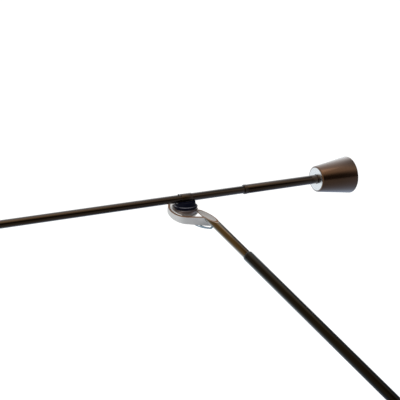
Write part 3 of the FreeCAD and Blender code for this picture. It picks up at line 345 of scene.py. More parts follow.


# settings of the finishes
# each metal's rim colour is the painted sheen that its base colour turns to towards grazing
metalSettings = {
    "armChrome": {"dark": (0.036, 0.0205, 0.0098), "light": (0.052, 0.030, 0.0140), "rim": (0.33, 0.34, 0.36),
                  "rimPower": 2.1, "rimShare": 1.4, "marks": "Streaks", "scale": 900.0,
                  "rough": (0.15, 0.22), "bump": 0.02, "dust": 0.0},
    "lowerChrome": {"dark": (0.0075, 0.0050, 0.0026), "light": (0.013, 0.0085, 0.0038),
                    "rim": (0.38, 0.42, 0.44), "rimPower": 2.2, "rimShare": 1.2, "marks": "Streaks",
                    "scale": 900.0, "rough": (0.14, 0.2), "bump": 0.02, "dust": 0.0},
    "coneChrome": {"dark": (0.090, 0.044, 0.021), "light": (0.122, 0.062, 0.031), "rim": (0.62, 0.63, 0.66),
                   "rimPower": 2.4, "rimShare": 1.4, "marks": "Rings", "scale": 2600.0,
                   "rough": (0.17, 0.25), "bump": 0.25, "dust": 0.0},
    "polishedTip": {"dark": (0.057, 0.031, 0.010), "light": (0.078, 0.043, 0.014), "rim": (0.80, 0.80, 0.78),
                    "rimPower": 2.0, "rimShare": 1.9, "marks": "Streaks", "scale": 1100.0,
                    "rough": (0.12, 0.18), "bump": 0.02, "dust": 0.0},
    # a thin grey metal band painted on the black disc as its highlight
    "discRim": {"dark": (0.16, 0.16, 0.19), "light": (0.24, 0.24, 0.28), "marks": "Rings", "scale": 1500.0,
                "rough": (0.3, 0.4), "bump": 0.02, "dust": 0.0},
    "ballMetal": {"dark": (0.29, 0.235, 0.21), "light": (0.36, 0.30, 0.275), "rim": (0.60, 0.60, 0.62),
                  "rimPower": 2.4, "rimShare": 0.25, "marks": "Rings", "scale": 1500.0,
                  "rough": (0.30, 0.38), "bump": 0.01, "dust": 0.0},
    "housingMetal": {"dark": (0.042, 0.029, 0.019), "light": (0.062, 0.044, 0.030), "rim": (0.33, 0.34, 0.36),
                     "rimPower": 2.4, "rimShare": 1.0, "marks": "Rings", "scale": 1400.0,
                     "rough": (0.24, 0.34), "bump": 0.05, "dust": 0.06},
    "plateSteel": {"dark": (0.40, 0.40, 0.41), "light": (0.50, 0.50, 0.52), "marks": "Rings", "scale": 900.0,
                   "rough": (0.3, 0.45), "bump": 0.1, "dust": 0.1},
    "darkScrew": {"dark": (0.05, 0.05, 0.055), "light": (0.09, 0.09, 0.10), "rim": (0.5, 0.5, 0.52),
                  "rimPower": 2.0, "rimShare": 0.6, "marks": "Rings", "scale": 1500.0,
                  "rough": (0.3, 0.45), "bump": 0.08, "dust": 0.05},
    "bushBrass": {"dark": (0.62, 0.45, 0.2), "light": (0.75, 0.58, 0.3), "marks": "Rings", "scale": 1200.0,
                  "rough": (0.2, 0.35), "bump": 0.08, "dust": 0.1},
    "reflectorMetal": {"dark": (0.85, 0.85, 0.86), "light": (0.93, 0.93, 0.94), "marks": "Rings",
                       "scale": 900.0, "rough": (0.08, 0.16), "bump": 0.03, "dust": 0.0},
}
plasticSettings = {
    "blackPlastic": {"dark": (0.0014, 0.0016, 0.0060), "light": (0.0028, 0.0032, 0.0105), "scale": 900.0,
                     "rough": (0.30, 0.42), "bump": 0.02, "dust": 0.0, "specular": 0.045},
    "seatNylon": {"dark": (0.92, 0.92, 0.90), "light": (0.97, 0.97, 0.96), "scale": 700.0,
                  "rough": (0.4, 0.55), "bump": 0.05, "dust": 0.0, "soft": 0.1},
    "leadSleeve": {"dark": (0.16, 0.25, 0.33), "light": (0.26, 0.37, 0.46), "scale": 500.0,
                   "rough": (0.2, 0.3), "bump": 0.02, "dust": 0.0},
    "padRubber": {"dark": (0.018, 0.018, 0.018), "light": (0.03, 0.03, 0.03), "scale": 700.0,
                  "rough": (0.6, 0.8), "bump": 0.2, "dust": 0.1},
    "windingTape": {"dark": (0.3, 0.2, 0.05), "light": (0.45, 0.32, 0.1), "scale": 500.0,
                    "rough": (0.25, 0.4), "bump": 0.1, "dust": 0.0},
    "holderCeramic": {"dark": (0.78, 0.76, 0.72), "light": (0.86, 0.84, 0.8), "scale": 500.0,
                      "rough": (0.45, 0.6), "bump": 0.1, "dust": 0.0},
}
glassSettings = {"colour": (0.97, 0.99, 0.99), "ior": 1.47, "rough": (0.0, 0.03), "scale": 60.0}
axisOf = {
    "upper": (upFrame.translation, Vector((1, 0, 0))),
    "lower": (lowFrame.translation, rodLine),
    "post": (Vector((0, 0, 0)), Vector((0, 0, 1))),
    "pivot": (postFrame.translation, pivotLine),
    "head": (headFrame.translation, Vector((0, 0, 1))),
    "ball": (ballFrame.translation, Vector((0, 0, 1))),
}
finishes = {name: plasticMaterial(name, values) for name, values in plasticSettings.items()}
finishes["clearGlass"] = glassMaterial("clearGlass", glassSettings)


def metal(kind, group):
    # one material for each kind of finish and each axis that its tool marks follow
    name = kind + group.capitalize()
    if name not in finishes:
        finishes[name] = metalMaterial(name, metalSettings[kind], *axisOf[group])
    return finishes[name]


def hookMaterial(name, settings):
    # satin nickel on the strip, painted shade on the slant face, a painted bronze reflection round that
    # face's edge, dark polish on the rod
    material, tree, shader = newMaterial(name)
    place = objectPlace(tree)
    normal = tuple(hookFrame.to_3x3() @ Vector((0, 0, 1)))
    origin = tuple(hookFrame @ Vector((0, 0, settings["slantLevel"])))
    depth = vectorNode(tree, "DOT_PRODUCT", vectorNode(tree, "SUBTRACT", place, origin), normal)
    marks = turnedMarks(tree, lowFrame.translation, rodLine, settings["tip"]["scale"])
    radius, rodRadius, rimRadius = marks.outputs["Radius"], settings["rodRadius"], settings["rimRadius"]
    inside = mapRange(tree, radius, 1.0, 0.0, rodRadius, rodRadius + sharpStep)
    below = mapRange(tree, depth, 1.0, 0.0, -settings["rimDepth"], -settings["rimDepth"] / 2)
    rodMask = mathNode(tree, "MULTIPLY", inside, below, clamp=True)
    nearTop = mapRange(tree, depth, 0.0, 1.0, -settings["rimDepth"], 0.0)
    outer = mapRange(tree, radius, 0.0, 1.0, rimRadius, rimRadius + wideStep)
    rim = mathNode(tree, "MULTIPLY", nearTop, outer, clamp=True)
    grain = placeGroup(tree, mouldGrain, {"Scale": settings["grain"]})
    satin = mixColour(tree, grain.outputs["Patches"], settings["satinDark"], settings["satinLight"])
    # painted shade: the slant face is coloured darker than the strip
    satin = mixColour(tree, nearTop, satin, settings["facet"])
    # painted reflection: a bronze band along the slant face's outer edge
    satin = mixColour(tree, rim, satin, settings["bronze"])
    tree.links.new(mixColour(tree, rodMask, satin, metalColour(tree, settings["tip"], marks)),
                   shader.inputs["Base Color"])
    tree.links.new(mapRange(tree, rodMask, settings["satinMetal"], 1.0), shader.inputs["Metallic"])
    roughSatin = mapRange(tree, grain.outputs["Grain"], *settings["rough"])
    roughTip = mapRange(tree, marks.outputs["Streaks"], *settings["tip"]["rough"])
    tree.links.new(mixNumber(tree, rodMask, roughSatin, roughTip), shader.inputs["Roughness"])
    bumps = bumpNode(tree, grain.outputs["Grain"], settings["bump"], grainDepth)
    tree.links.new(bumps, shader.inputs["Normal"])
    return material


def coneMaterial(name, settings, axisName, endPlace, faceRadius):
    # a turned weight: dark plating on its side, bright turned metal on the face that the rod enters
    material, tree, shader = newMaterial(name)
    centre, axis = axisOf[axisName]
    side = metalSettings["coneChrome"]
    marks = turnedMarks(tree, centre, axis, side["scale"])
    near = mapRange(tree, marks.outputs["Height"], 1.0, 0.0, endPlace, endPlace + settings["faceDepth"])
    inner = mapRange(tree, marks.outputs["Radius"], 1.0, 0.0, faceRadius, faceRadius + wideStep)
    face = mathNode(tree, "MULTIPLY", near, inner, clamp=True)
    bright = mixColour(tree, marks.outputs["Rings"], settings["faceDark"], settings["faceLight"])
    colour = mixColour(tree, face, metalColour(tree, side, marks), bright)
    tree.links.new(colour, shader.inputs["Base Color"])
    shader.inputs["Metallic"].default_value = 1.0
    roughSide = mapRange(tree, marks.outputs["Rings"], *side["rough"])
    roughFace = mapRange(tree, marks.outputs["Rings"], *settings["faceRough"])
    tree.links.new(mixNumber(tree, face, roughSide, roughFace), shader.inputs["Roughness"])
    depth = mapRange(tree, face, settings["sideDepth"], 1.0)  # the face's rings are deeper than the side's
    rings = mathNode(tree, "MULTIPLY", marks.outputs["Rings"], depth)
    tree.links.new(bumpNode(tree, rings, settings["bump"], lineDepth), shader.inputs["Normal"])
    return material


def bandMaterial(name, base, band, axisName, low, high):
    # one finish everywhere, and another where the distance from an axis is between two limits
    material, tree, shader = newMaterial(name)
    centre, axis = axisOf[axisName]
    marks = turnedMarks(tree, centre, axis, bandScale)
    grain = placeGroup(tree, mouldGrain, {"Scale": base["scale"]})
    inside = mapRange(tree, marks.outputs["Radius"], 0.0, 1.0, low - sharpStep, low)
    within = mapRange(tree, marks.outputs["Radius"], 1.0, 0.0, high, high + sharpStep)
    mask = mathNode(tree, "MULTIPLY", inside, within, clamp=True)
    moulded = mixColour(tree, grain.outputs["Patches"], base["dark"], base["light"])
    colour = mixColour(tree, mask, moulded, metalColour(tree, band, marks))
    tree.links.new(colour, shader.inputs["Base Color"])
    tree.links.new(mask, shader.inputs["Metallic"])
    tree.links.new(mapRange(tree, grain.outputs["Patches"], *base["rough"]), shader.inputs["Roughness"])
    shader.inputs["Specular IOR Level"].default_value = base["specular"]
    bumps = bumpNode(tree, grain.outputs["Grain"], base["bump"], grainDepth)
    tree.links.new(bumps, shader.inputs["Normal"])
    return material


hookSettings = {  # lengths in metres
    "slantLevel": -0.0036, "rodRadius": 0.00475, "rimDepth": 0.00035, "rimRadius": 0.0036,
    "grain": 700.0, "bump": 0.12, "rough": (0.40, 0.55), "satinMetal": 0.45,
    "satinDark": (0.60, 0.58, 0.56), "satinLight": (0.72, 0.70, 0.675),
    # the slant face's darker colour is painted shade, and the bronze round its edge a painted reflection
    "facet": (0.47, 0.45, 0.435), "bronze": (0.23, 0.125, 0.07), "tip": metalSettings["polishedTip"],
}
faceSettings = {"faceDark": (0.58, 0.56, 0.55), "faceLight": (0.90, 0.89, 0.88), "faceRough": (0.18, 0.3),
                "faceDepth": 0.0005, "bump": 0.35, "sideDepth": 0.05}
bandSettings = {  # metal, axis, and the band's inner and outer distance from it in metres
    # the disc's band is a painted highlight along the edge of its land
    "discBlack": ("discRim", "ball", 0.0112, 0.01145),
    "saddleBlack": ("armChrome", "upper", 0.0, 0.0047),
}
finishes["hookNickel"] = hookMaterial("hookNickel", hookSettings)
for name, (kind, axisName, low, high) in bandSettings.items():
    finishes[name] = bandMaterial(name, plasticSettings["blackPlastic"], metalSettings[kind],
                                  axisName, low, high)
print("finishes made")


# tools that make and finish a piece
toolSettings = {
    "smoothAngle": 38, "sharpEdge": 30, "flatAngle": 0.5,  # degrees
    "weld": 1e-7, "merge": 1e-6,  # metres
    "bevelSegments": 2,
}


def finishPiece(shape, name, node, finish):
    mesh = bpy.data.meshes.new(name)
    shape.to_mesh(mesh)
    shape.free()
    mesh.shade_smooth()
    mesh.set_sharp_from_angle(angle=math.radians(toolSettings["smoothAngle"]))
    mesh.materials.append(finish)
    piece = bpy.data.objects.new(name, mesh)
    bpy.context.scene.collection.objects.link(piece)
    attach(piece, bodyOf[node])
    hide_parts(node)
    return piece


def softenEdges(shape, width):
    # rounds each edge where two faces meet at an angle
    limit = math.radians(toolSettings["sharpEdge"])
    sharp = [edge for edge in shape.edges if len(edge.link_faces) == 2 and edge.calc_face_angle(0) > limit]
    bmesh.ops.bevel(shape, geom=sharp, offset=width, offset_type="OFFSET", affect="EDGES",
                    segments=toolSettings["bevelSegments"], profile=0.5, clamp_overlap=True, material=-1)


def spunShape(rings, place, soften, steps=96):
    # turns a section round place's own Z; rings are its (radius, height) corners in millimetres
    shape = bmesh.new()
    corners = [shape.verts.new((radius / 1000, 0, height / 1000)) for radius, height in rings]
    edges = [shape.edges.new(pair) for pair in zip(corners, corners[1:])]
    if rings[0][0] > 0 or rings[-1][0] > 0:
        edges.append(shape.edges.new((corners[-1], corners[0])))
    bmesh.ops.spin(shape, geom=corners + edges, cent=(0, 0, 0), axis=(0, 0, 1), dvec=(0, 0, 0),
                   angle=2 * math.pi, steps=steps, use_merge=True, use_duplicate=False)
    bmesh.ops.remove_doubles(shape, verts=shape.verts, dist=toolSettings["weld"])
    bmesh.ops.recalc_face_normals(shape, faces=shape.faces)
    if soften:
        softenEdges(shape, soften / 1000)
    bmesh.ops.transform(shape, matrix=place, verts=shape.verts)
    return shape


def arcRings(radius, firstDrop, lastDrop, count):
    # points of a ball's outline between two depths below its centre
    first, last = math.asin(firstDrop / radius), math.asin(lastDrop / radius)
    angles = [first + (last - first) * step / count for step in range(count + 1)]
    return [(radius * math.cos(angle), -radius * math.sin(angle)) for angle in angles]


def roundedCorner(before, corner, after, radius, steps=6):
    # points of the arc that rounds one corner of a section
    corner = Vector(corner)
    first, last = (Vector(before) - corner).normalized(), (Vector(after) - corner).normalized()
    half = first.angle(last) / 2
    centre = corner + (first + last).normalized() * radius / math.sin(half)
    start = corner + first * radius / math.tan(half) - centre
    sweep = start.angle_signed(corner + last * radius / math.tan(half) - centre)
    points = []
    for step in range(steps + 1):
        angle = math.atan2(start.y, start.x) - sweep * step / steps
        points.append((centre.x + radius * math.cos(angle), centre.y + radius * math.sin(angle)))
    return points


def cutAway(piece, cutter):
    # takes a shape out of a finished piece
    tool = bpy.data.objects.new("cutter", bpy.data.meshes.new("cutter"))
    cutter.to_mesh(tool.data)
    cutter.free()
    bpy.context.scene.collection.objects.link(tool)
    modifier = piece.modifiers.new("cut", "BOOLEAN")
    modifier.operation = "DIFFERENCE"
    modifier.solver = "EXACT"
    modifier.object = tool
    graph = bpy.context.evaluated_depsgraph_get()
    cutMesh = bpy.data.meshes.new_from_object(piece.evaluated_get(graph))
    piece.modifiers.clear()
    piece.data = cutMesh
    cutMesh.set_sharp_from_angle(angle=math.radians(toolSettings["smoothAngle"]))
    bpy.data.objects.remove(tool)


def mergedCopy(node):
    # the model's own mesh as one closed skin, with its flat faces whole
    shape = bmesh.new()
    shape.from_mesh(nodes[node].data)
    bmesh.ops.remove_doubles(shape, verts=shape.verts, dist=toolSettings["merge"])
    bmesh.ops.dissolve_limit(shape, angle_limit=math.radians(toolSettings["flatAngle"]), verts=shape.verts,
                             edges=shape.edges)
    return shape


def softCopy(node, name, finish, soften=0.0):
    shape = mergedCopy(node)
    if soften:
        softenEdges(shape, soften / 1000)
    return finishPiece(shape, name, node, finish)


# upper arm and both weights, in millimetres along their arm
beadSettings = {"width": 3.0, "proud": 0.35, "edge": 0.3, "crown": 0.45, "middles": (0.75, 2.3),
                "spread": 0.7, "turns": (-60, -30, 0, 30, 60)}
armSettings = {"radius": 4.0, "wall": 0.7, "front": 392.0, "sleeveStart": 70.0, "sleeveRadius": 4.75,
               "end": 194.0, "plugDepth": 2.0, "crownIn": 0.8, "crownEdge": 0.9, "crownTop": 1.2,
               "soften": 0.15, "plugSoften": 0.2}


def beadRings(radius, bore, start, settings):
    # two soft beads with a groove between them
    proud, crown = radius + settings["proud"], settings["crown"]
    end, third = start + settings["width"], settings["width"] / 3
    rings = [(bore, start), (proud - settings["edge"], start)]
    for middle in settings["middles"]:
        for turn in settings["turns"]:
            angle = math.radians(turn)
            along = start + third * (middle + settings["spread"] * math.sin(angle))
            rings.append((proud - crown + crown * math.cos(angle), along))
    return rings + [(radius, end), (bore, end)]


def upperArm(settings):
    radius, inner, end = settings["radius"], settings["radius"] - settings["wall"], settings["end"]
    sleeve, sleeveStart, soften = settings["sleeveRadius"], settings["sleeveStart"], settings["soften"]
    front, seat = -settings["front"], end - settings["plugDepth"]
    plating = metal("armChrome", "upper")
    tube = [(inner, front), (radius, front), (radius, seat), (inner, seat)]
    finishPiece(spunShape(tube, upAxis, soften), "armTube", "arm_tube", plating)
    rear = [(radius, sleeveStart), (sleeve, sleeveStart), (sleeve, end), (radius, end)]
    finishPiece(spunShape(rear, upAxis, soften), "rearSleeve", "rear_sleeve", plating)
    bead = beadRings(sleeve, radius, sleeveStart - beadSettings["width"], beadSettings)
    finishPiece(spunShape(bead, upAxis, 0), "rearBead", "rear_bead", plating)
    plug = [(0, sleeveStart), (inner, sleeveStart), (inner, seat), (radius, seat), (radius, end),
            (sleeve, end), (sleeve - settings["crownIn"], end + settings["crownEdge"]),
            (0, end + settings["crownTop"])]
    finishPiece(spunShape(plug, upAxis, settings["plugSoften"]), "rearPlug", "rear_plug", plating)


turnedSettings = {  # what both weights share
    "edge": 0.8, "boreEdge": 0.4, "dishIn": 5.0, "dishSlope": 1.0, "dishDepth": 3.0,
    "faceLevel": 0.15, "faceIn": 1.0, "soften": 0.25, "steps": 128,
}
coneSettings = {
    "upper": {"bore": 4.8, "start": 156.5, "length": 42.0, "small": 14.0, "large": 20.0,
              "node": "upper_weight", "name": "upperWeight"},
    "lower": {"bore": 6.55, "start": 108.5, "length": 68.0, "small": 24.0, "large": 34.0,
              "node": "lower_weight", "name": "lowerWeight"},
}


def coneWeight(settings, turned, place, axisName):
    start, end, edge = settings["start"], settings["start"] + settings["length"], turned["edge"]
    small, large, bore = settings["small"], settings["large"], settings["bore"]
    dish, floor = large - turned["dishIn"], end - turned["dishDepth"]
    rings = [(bore, start + turned["boreEdge"]), (bore + turned["boreEdge"], start), (small - edge, start),
             (small, start + edge), (large, end - edge), (large - edge, end), (dish, end),
             (dish - turned["dishSlope"], floor), (bore, floor)]
    finish = coneMaterial(settings["name"] + "Steel", faceSettings, axisName,
                          (start + turned["faceLevel"]) / 1000, (small - edge - turned["faceIn"]) / 1000)
    shape = spunShape(rings, place, turned["soften"], turned["steps"])
    finishPiece(shape, settings["name"], settings["node"], finish)


upperArm(armSettings)
coneWeight(coneSettings["upper"], turnedSettings, upAxis, "upper")
coneWeight(coneSettings["lower"], turnedSettings, lowAxis, "lower")
print("upper arm and weights made")


# lower arm, in millimetres from the pivot
lowerSettings = {"radius": 5.5, "wall": 1.5, "far": -260.0, "near": -5.3, "bevel": 1.0, "soften": 0.12,
                 "tail": 6.5, "tailReach": 196.0, "tailStep": 1.0, "tailSoften": 0.15,
                 "hub": 9.0, "hubGap": 1.0, "hubSoften": 0.4}


def lowerArm(settings):
    radius, far, near, bevel = settings["radius"], settings["far"], settings["near"], settings["bevel"]
    inner, plating = radius - settings["wall"], metal("lowerChrome", "lower")
    tube = [(inner, far), (radius - bevel, far), (radius, far + bevel * 2), (radius, near), (inner, near)]
    finishPiece(spunShape(tube, lowAxis, settings["soften"]), "lowerTube", "lower_tube", plating)
    tail, reach, step = settings["tail"], settings["tailReach"], settings["tailStep"]
    start = settings["hub"] + settings["hubGap"]
    bead = beadRings(tail, radius, start, beadSettings)
    finishPiece(spunShape(bead, lowAxis, 0), "lowerBead", "lower_bead", plating)
    shoulder = start + beadSettings["width"]
    rod = [(0, -near), (tail - step, -near), (tail - step, shoulder), (tail, shoulder),
           (tail, reach - step), (tail - step, reach), (0, reach)]
    finishPiece(spunShape(rod, lowAxis, settings["tailSoften"]), "tailRod", "tail_rod", plating)
    softCopy("lower_hub", "lowerHub", metal("lowerChrome", "pivot"), settings["hubSoften"])


lowerArm(lowerSettings)
print("lower arm made")


# ball joint, in millimetres from the ball's centre
jointSettings = {
    "ball": 12.7, "cut": 3.5, "bore": 2.25, "nutRoom": 5.2, "nutLevel": 8.8,
    "ballSteps": 18, "ballSoften": 0.2,
    "cupInside": 13.0, "cupOutside": 13.6, "cupTop": 4.6, "drain": 4.0, "cupSteps": 16,
    "discRadius": 12.3, "discTaper": 0.9, "discLow": 3.2, "discHigh": 0.6, "discBore": 2.2, "recess": 1.6,
    "rimHeight": 0.8, "rimIn": 0.4, "land": 11.3, "landLevel": 0.1, "landSlope": 0.2, "boss": 10.3,
    "discSoften": 0.12, "hookSoften": 0.22, "saddleSoften": 0.2,
}


def swivelDisc(settings):
    radius, taper, low, high = (settings[key] for key in ("discRadius", "discTaper", "discLow", "discHigh"))
    bore, recess, rimFoot = settings["discBore"], settings["recess"], high + settings["rimHeight"]
    land, level, slope, boss = (settings[key] for key in ("land", "landLevel", "landSlope", "boss"))
    rings = [(0, -recess), (bore, -recess), (bore, -low), (radius - taper, -low), (radius, -rimFoot),
             (radius - settings["rimIn"], -high), (land, -high), (land - slope, -level),
             (boss + slope, -level), (boss, -high), (0, -high)]
    shape = spunShape(rings, ballFrame, settings["discSoften"])
    finishPiece(shape, "swivelDisc", "swivel_disc", finishes["discBlack"])


def ballJoint(settings):
    ball, cut, bore = settings["ball"], settings["cut"], settings["bore"]
    room, nut = settings["nutRoom"], -settings["nutLevel"]
    rings = [(bore, nut), (room, nut)]
    rings += arcRings(ball, math.sqrt(ball ** 2 - room ** 2), cut, settings["ballSteps"]) + [(bore, -cut)]
    shape = spunShape(rings, ballFrame, settings["ballSoften"])
    finishPiece(shape, "halfBall", "half_ball", metal("ballMetal", "ball"))
    inside, outside = settings["cupInside"], settings["cupOutside"]
    innerDrain, outerDrain = [math.sqrt(radius ** 2 - settings["drain"] ** 2) for radius in (inside, outside)]
    rings = arcRings(inside, settings["cupTop"], innerDrain, settings["cupSteps"])
    rings += arcRings(outside, outerDrain, settings["cupTop"], settings["cupSteps"])
    finishPiece(spunShape(rings, ballFrame, 0), "seatCup", "seat_cup", metal("ballMetal", "ball"))
    swivelDisc(settings)
    softCopy("ball_seat", "ballSeat", finishes["seatNylon"])
    softCopy("eye_hook", "eyeHook", finishes["hookNickel"], settings["hookSoften"])
    softCopy("saddle", "armSaddle", finishes["saddleBlack"], settings["saddleSoften"])


ballJoint(jointSettings)
print("ball joint made")


# base, shade and pivot bolt, in millimetres
baseSettings = {"bore": 10.55, "radius": 90.0, "roof": 70.0, "foot": 3.0, "shoulder": 24.0, "top": 43.0,
                "wall": 2.0, "round": 4.0, "soften": 0.5, "steps": 160,
                "bosses": 3, "bossRadius": 4.5, "bossBore": 2.0, "bossCircle": 60.0, "bossFoot": 9.0,
                "bossSteps": 32}


def baseHousing(settings):
    radius, roof, wall, bore = settings["radius"], settings["roof"], settings["wall"], settings["bore"]
    foot, shoulder, top = settings["foot"], settings["shoulder"], settings["top"]
    slope = (radius - roof) / (top - shoulder)
    innerFoot, innerShoulder, under = radius - wall, shoulder - wall / 2, top - wall
    innerRoof = innerFoot - slope * (under - innerShoulder)
    rings = [(bore, under), (innerRoof, under), (innerFoot, innerShoulder), (innerFoot, foot), (radius, foot)]
    rings += roundedCorner((radius, foot), (radius, shoulder), (roof, top), settings["round"])
    rings += roundedCorner((radius, shoulder), (roof, top), (bore, top), settings["round"]) + [(bore, top)]
    housing = spunShape(rings, baseFrame, settings["soften"], settings["steps"])
    finishPiece(housing, "baseHousing", "base_housing", metal("housingMetal", "post"))
    baseBosses(settings, under)


def baseBosses(settings, under):
    bossBore, bossRadius, bossFoot = settings["bossBore"], settings["bossRadius"], settings["bossFoot"]
    rings = [(bossBore, bossFoot), (bossRadius, bossFoot), (bossRadius, under), (bossBore, under)]
    bosses = bmesh.new()
    for index in range(settings["bosses"]):
        turn = turnAbout("Z", 360 * index / settings["bosses"])
        boss = spunShape(rings, turn @ shiftBy(settings["bossCircle"] / 1000, 0, 0), 0, settings["bossSteps"])
        mesh = bpy.data.meshes.new("boss")
        boss.to_mesh(mesh)
        boss.free()
        bosses.from_mesh(mesh)
    finishPiece(bosses, "baseBosses", "base_housing", metal("housingMetal", "post"))


shadeSettings = {"bore": 3.0, "small": 17.0, "large": 41.0, "top": -15.0, "foot": -73.0, "wall": 1.2,
                 "lip": 0.5, "lipSteps": 4, "steps": 160,
                 "vents": 10, "ventRadius": 1.6, "ventCircle": 11.5, "ventSides": 32}


def lampShade(settings):
    small, large, top, foot = settings["small"], settings["large"], settings["top"], settings["foot"]
    wall, bore, lip, lipSteps = settings["wall"], settings["bore"], settings["lip"], settings["lipSteps"]
    under, inside, mouth = top - wall, small - wall, large - wall
    rings = [(bore, under), (inside, under)]
    rings += roundedCorner((inside, under), (mouth, foot), (large, foot), lip, lipSteps)
    rings += roundedCorner((mouth, foot), (large, foot), (small, top), lip, lipSteps)
    rings += roundedCorner((large, foot), (small, top), (bore, top), wall) + [(bore, top)]
    shape = spunShape(rings, headFrame, 0, settings["steps"])
    shade = finishPiece(shape, "lampShade", "shade", metal("armChrome", "head"))
    ventRadius, level = settings["ventRadius"] / 1000, (top - wall / 2) / 1000
    holes = bmesh.new()
    for index in range(settings["vents"]):
        turn = turnAbout("Z", 360 * index / settings["vents"])
        spot = turn @ shiftBy(settings["ventCircle"] / 1000, 0, level)
        bmesh.ops.create_cone(holes, cap_ends=True, segments=settings["ventSides"], radius1=ventRadius,
                              radius2=ventRadius, depth=wall * 2 / 1000, matrix=headFrame @ spot)
    cutAway(shade, holes)


boltSettings = {"headEnd": -18.0, "socket": 3.0, "socketSides": 6, "depth": 2.4, "soften": 0.3}


def pivotBolt(settings):
    bolt = softCopy("pivot_bolt", "pivotBolt", metal("armChrome", "pivot"), settings["soften"])
    socket, reach = bmesh.new(), settings["socket"] / 1000
    place = postFrame @ shiftBy(0, settings["headEnd"] / 1000, 0) @ turnAbout("X", 90)
    bmesh.ops.create_cone(socket, cap_ends=True, segments=settings["socketSides"], radius1=reach,
                          radius2=reach, depth=settings["depth"] * 2 / 1000, matrix=place)
    cutAway(bolt, socket)


baseHousing(baseSettings)
lampShade(shadeSettings)
pivotBolt(boltSettings)
print("base, shade and pivot made")


# every other piece keeps the model's shape, with its edges softened
slotFinish = {
    "black_rubber": finishes["padRubber"], "black_plastic": finishes["blackPlastic"],
    "winding": finishes["windingTape"], "lead_sleeve": finishes["leadSleeve"],
    "ceramic": finishes["holderCeramic"], "clear_glass": finishes["clearGlass"],
    "plate_steel": metal("plateSteel", "post"), "bush_brass": metal("bushBrass", "post"),
    "dark_chrome": metal("armChrome", "post"), "dark_screw": metal("darkScrew", "post"),
    "shade_metal": metal("armChrome", "head"), "reflector_metal": metal("reflectorMetal", "head"),
}
softenBy = {  # millimetres; the others get plainSoften
    "post_fork": 0.6, "post_collar": 0.4, "head_knuckle": 0.4, "pivot_cap": 0.4, "base_plate": 0.4,
    "dimmer_knob": 0.3, "shade_neck": 0.3, "head_ferrule": 0.3, "cable_gland": 0.3, "post_nut": 0.3,
    "base_pad": 0.3, "head_grip": 0.3,
}
plainSoften = 0.1
for node in sorted(nodes):
    if not nodes[node].hide_render:
        first, *rest = node.split("_")
        name = first + "".join(word.capitalize() for word in rest) if rest else "lamp" + first.capitalize()
        softCopy(node, name, slotFinish[slotOf[node]], softenBy.get(node, plainSoften))
print("other pieces made")


# floor, light tent and lamp
stageSettings = {
    "floorSize": 30.0, "floorColour": (0.86, 0.86, 0.86), "floorRough": 0.9, "floorGlow": 0.4,
    "floorMirrored": (0.98, 1.08, 1.15), "floorDim": (0.36, 0.41, 0.50),  # as polished metal shows it
    "dimAim": (-0.766, 0.643, 0.0), "dimNear": 0.15, "dimFar": 0.6,  # where the bright part starts
    "tent": 0.75,  # light of the white tent on the object
    "tentMirrored": (1.0, 0.99, 0.97),
    "flags": (  # dark flags round the lamp: azimuth, elevation, inner and outer angle, shade
        (8, 4, 20, 50, (0.06, 0.06, 0.07)), (92, 28, 20, 42, (0.14, 0.14, 0.15))),
}


def rayKinds(tree):
    # who sees a surface: the camera, polished metal, or glass
    path = tree.nodes.new("ShaderNodeLightPath")
    return path.outputs["Is Camera Ray"], path.outputs["Is Glossy Ray"], path.outputs["Is Transmission Ray"]


def softStep(tree, value, low, high):
    node = tree.nodes.new("ShaderNodeMapRange")
    node.interpolation_type = "SMOOTHSTEP"
    tree.links.new(value, node.inputs["Value"])
    node.inputs["From Min"].default_value = low
    node.inputs["From Max"].default_value = high
    return node.outputs["Result"]


def makeFloor(settings):
    shape = bmesh.new()
    bmesh.ops.create_grid(shape, x_segments=1, y_segments=1, size=settings["floorSize"] / 2)
    mesh = bpy.data.meshes.new("floor")
    shape.to_mesh(mesh)
    shape.free()
    floor = bpy.data.objects.new("floor", mesh)
    bpy.context.scene.collection.objects.link(floor)
    material, tree, shader = newMaterial("floorWhite")
    shader.inputs["Base Color"].default_value = (*settings["floorColour"], 1)
    shader.inputs["Roughness"].default_value = settings["floorRough"]
    direct, mirrored, through = rayKinds(tree)
    glow = tree.nodes.new("ShaderNodeEmission")
    seen = mathNode(tree, "MAXIMUM", direct, through)
    tree.links.new(mathNode(tree, "MULTIPLY", seen, settings["floorGlow"]), glow.inputs["Strength"])
    both = tree.nodes.new("ShaderNodeAddShader")
    tree.links.new(shader.outputs[0], both.inputs[0])
    tree.links.new(glow.outputs[0], both.inputs[1])
    reflected = tree.nodes.new("ShaderNodeEmission")
    away = vectorNode(tree, "DOT_PRODUCT", objectPlace(tree), settings["dimAim"])
    bright = softStep(tree, away, settings["dimNear"], settings["dimFar"])
    tree.links.new(mixColour(tree, bright, settings["floorDim"], settings["floorMirrored"]),
                   reflected.inputs["Color"])
    mix = tree.nodes.new("ShaderNodeMixShader")
    tree.links.new(mirrored, mix.inputs["Fac"])
    tree.links.new(both.outputs[0], mix.inputs[1])
    tree.links.new(reflected.outputs[0], mix.inputs[2])
    tree.links.new(mix.outputs[0], tree.nodes["Material Output"].inputs["Surface"])
    floor.data.materials.append(material)


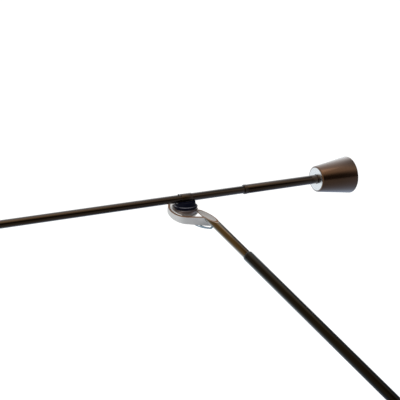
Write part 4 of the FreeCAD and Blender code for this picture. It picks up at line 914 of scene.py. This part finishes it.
def lightTent(settings):
    surroundings = bpy.data.worlds.new("tent")
    bpy.context.scene.world = surroundings
    surroundings.use_nodes = True
    tree = surroundings.node_tree
    tree.nodes.clear()
    direct, mirrored, through = rayKinds(tree)
    direction = tree.nodes.new("ShaderNodeTexCoord").outputs["Generated"]
    colour = settings["tentMirrored"]
    for azimuth, elevation, inner, outer, shade in settings["flags"]:
        turn, rise = math.radians(azimuth), math.radians(elevation)
        aim = (math.sin(turn) * math.cos(rise), -math.cos(turn) * math.cos(rise), math.sin(rise))
        towards = vectorNode(tree, "DOT_PRODUCT", direction, aim)
        mask = softStep(tree, towards, math.cos(math.radians(outer)), math.cos(math.radians(inner)))
        colour = mixColour(tree, mask, colour, shade)
    strengths = {"soft": settings["tent"], "plain": 1.0, "mirror": 1.0}
    shades = {}
    for name, strength in strengths.items():
        shades[name] = tree.nodes.new("ShaderNodeBackground")
        shades[name].inputs["Strength"].default_value = strength
        shades[name].inputs["Color"].default_value = (1, 1, 1, 1)
    tree.links.new(colour, shades["mirror"].inputs["Color"])
    last = shades["soft"].outputs[0]
    for name, mask in (("plain", mathNode(tree, "MAXIMUM", direct, through)), ("mirror", mirrored)):
        mix = tree.nodes.new("ShaderNodeMixShader")
        tree.links.new(mask, mix.inputs["Fac"])
        tree.links.new(last, mix.inputs[1])
        tree.links.new(shades[name].outputs[0], mix.inputs[2])
        last = mix.outputs[0]
    tree.links.new(last, tree.nodes.new("ShaderNodeOutputWorld").inputs["Surface"])


def softLamp(name, settings):
    data = bpy.data.lights.new(name, "AREA")
    data.shape = "RECTANGLE"
    data.size, data.size_y = settings["size"]
    data.energy = settings["power"]
    data.color = settings["colour"]
    lamp = bpy.data.objects.new(name, data)
    bpy.context.scene.collection.objects.link(lamp)
    lamp.location = settings["place"]
    aim = Vector(settings["aim"]) - Vector(settings["place"])
    lamp.rotation_euler = aim.to_track_quat("-Z", "Y").to_euler()


lampSettings = {
    "topLamp": {"place": (-0.2, -0.2, 2.2), "aim": (0, 0, 0.4), "size": (1.4, 1.4), "power": 6.5,
                "colour": (1.0, 0.97, 0.92)},
}
makeFloor(stageSettings)
lightTent(stageSettings)
for name, settings in lampSettings.items():
    softLamp(name, settings)
bpy.context.scene.view_settings.view_transform = "Standard"
print("stage set")
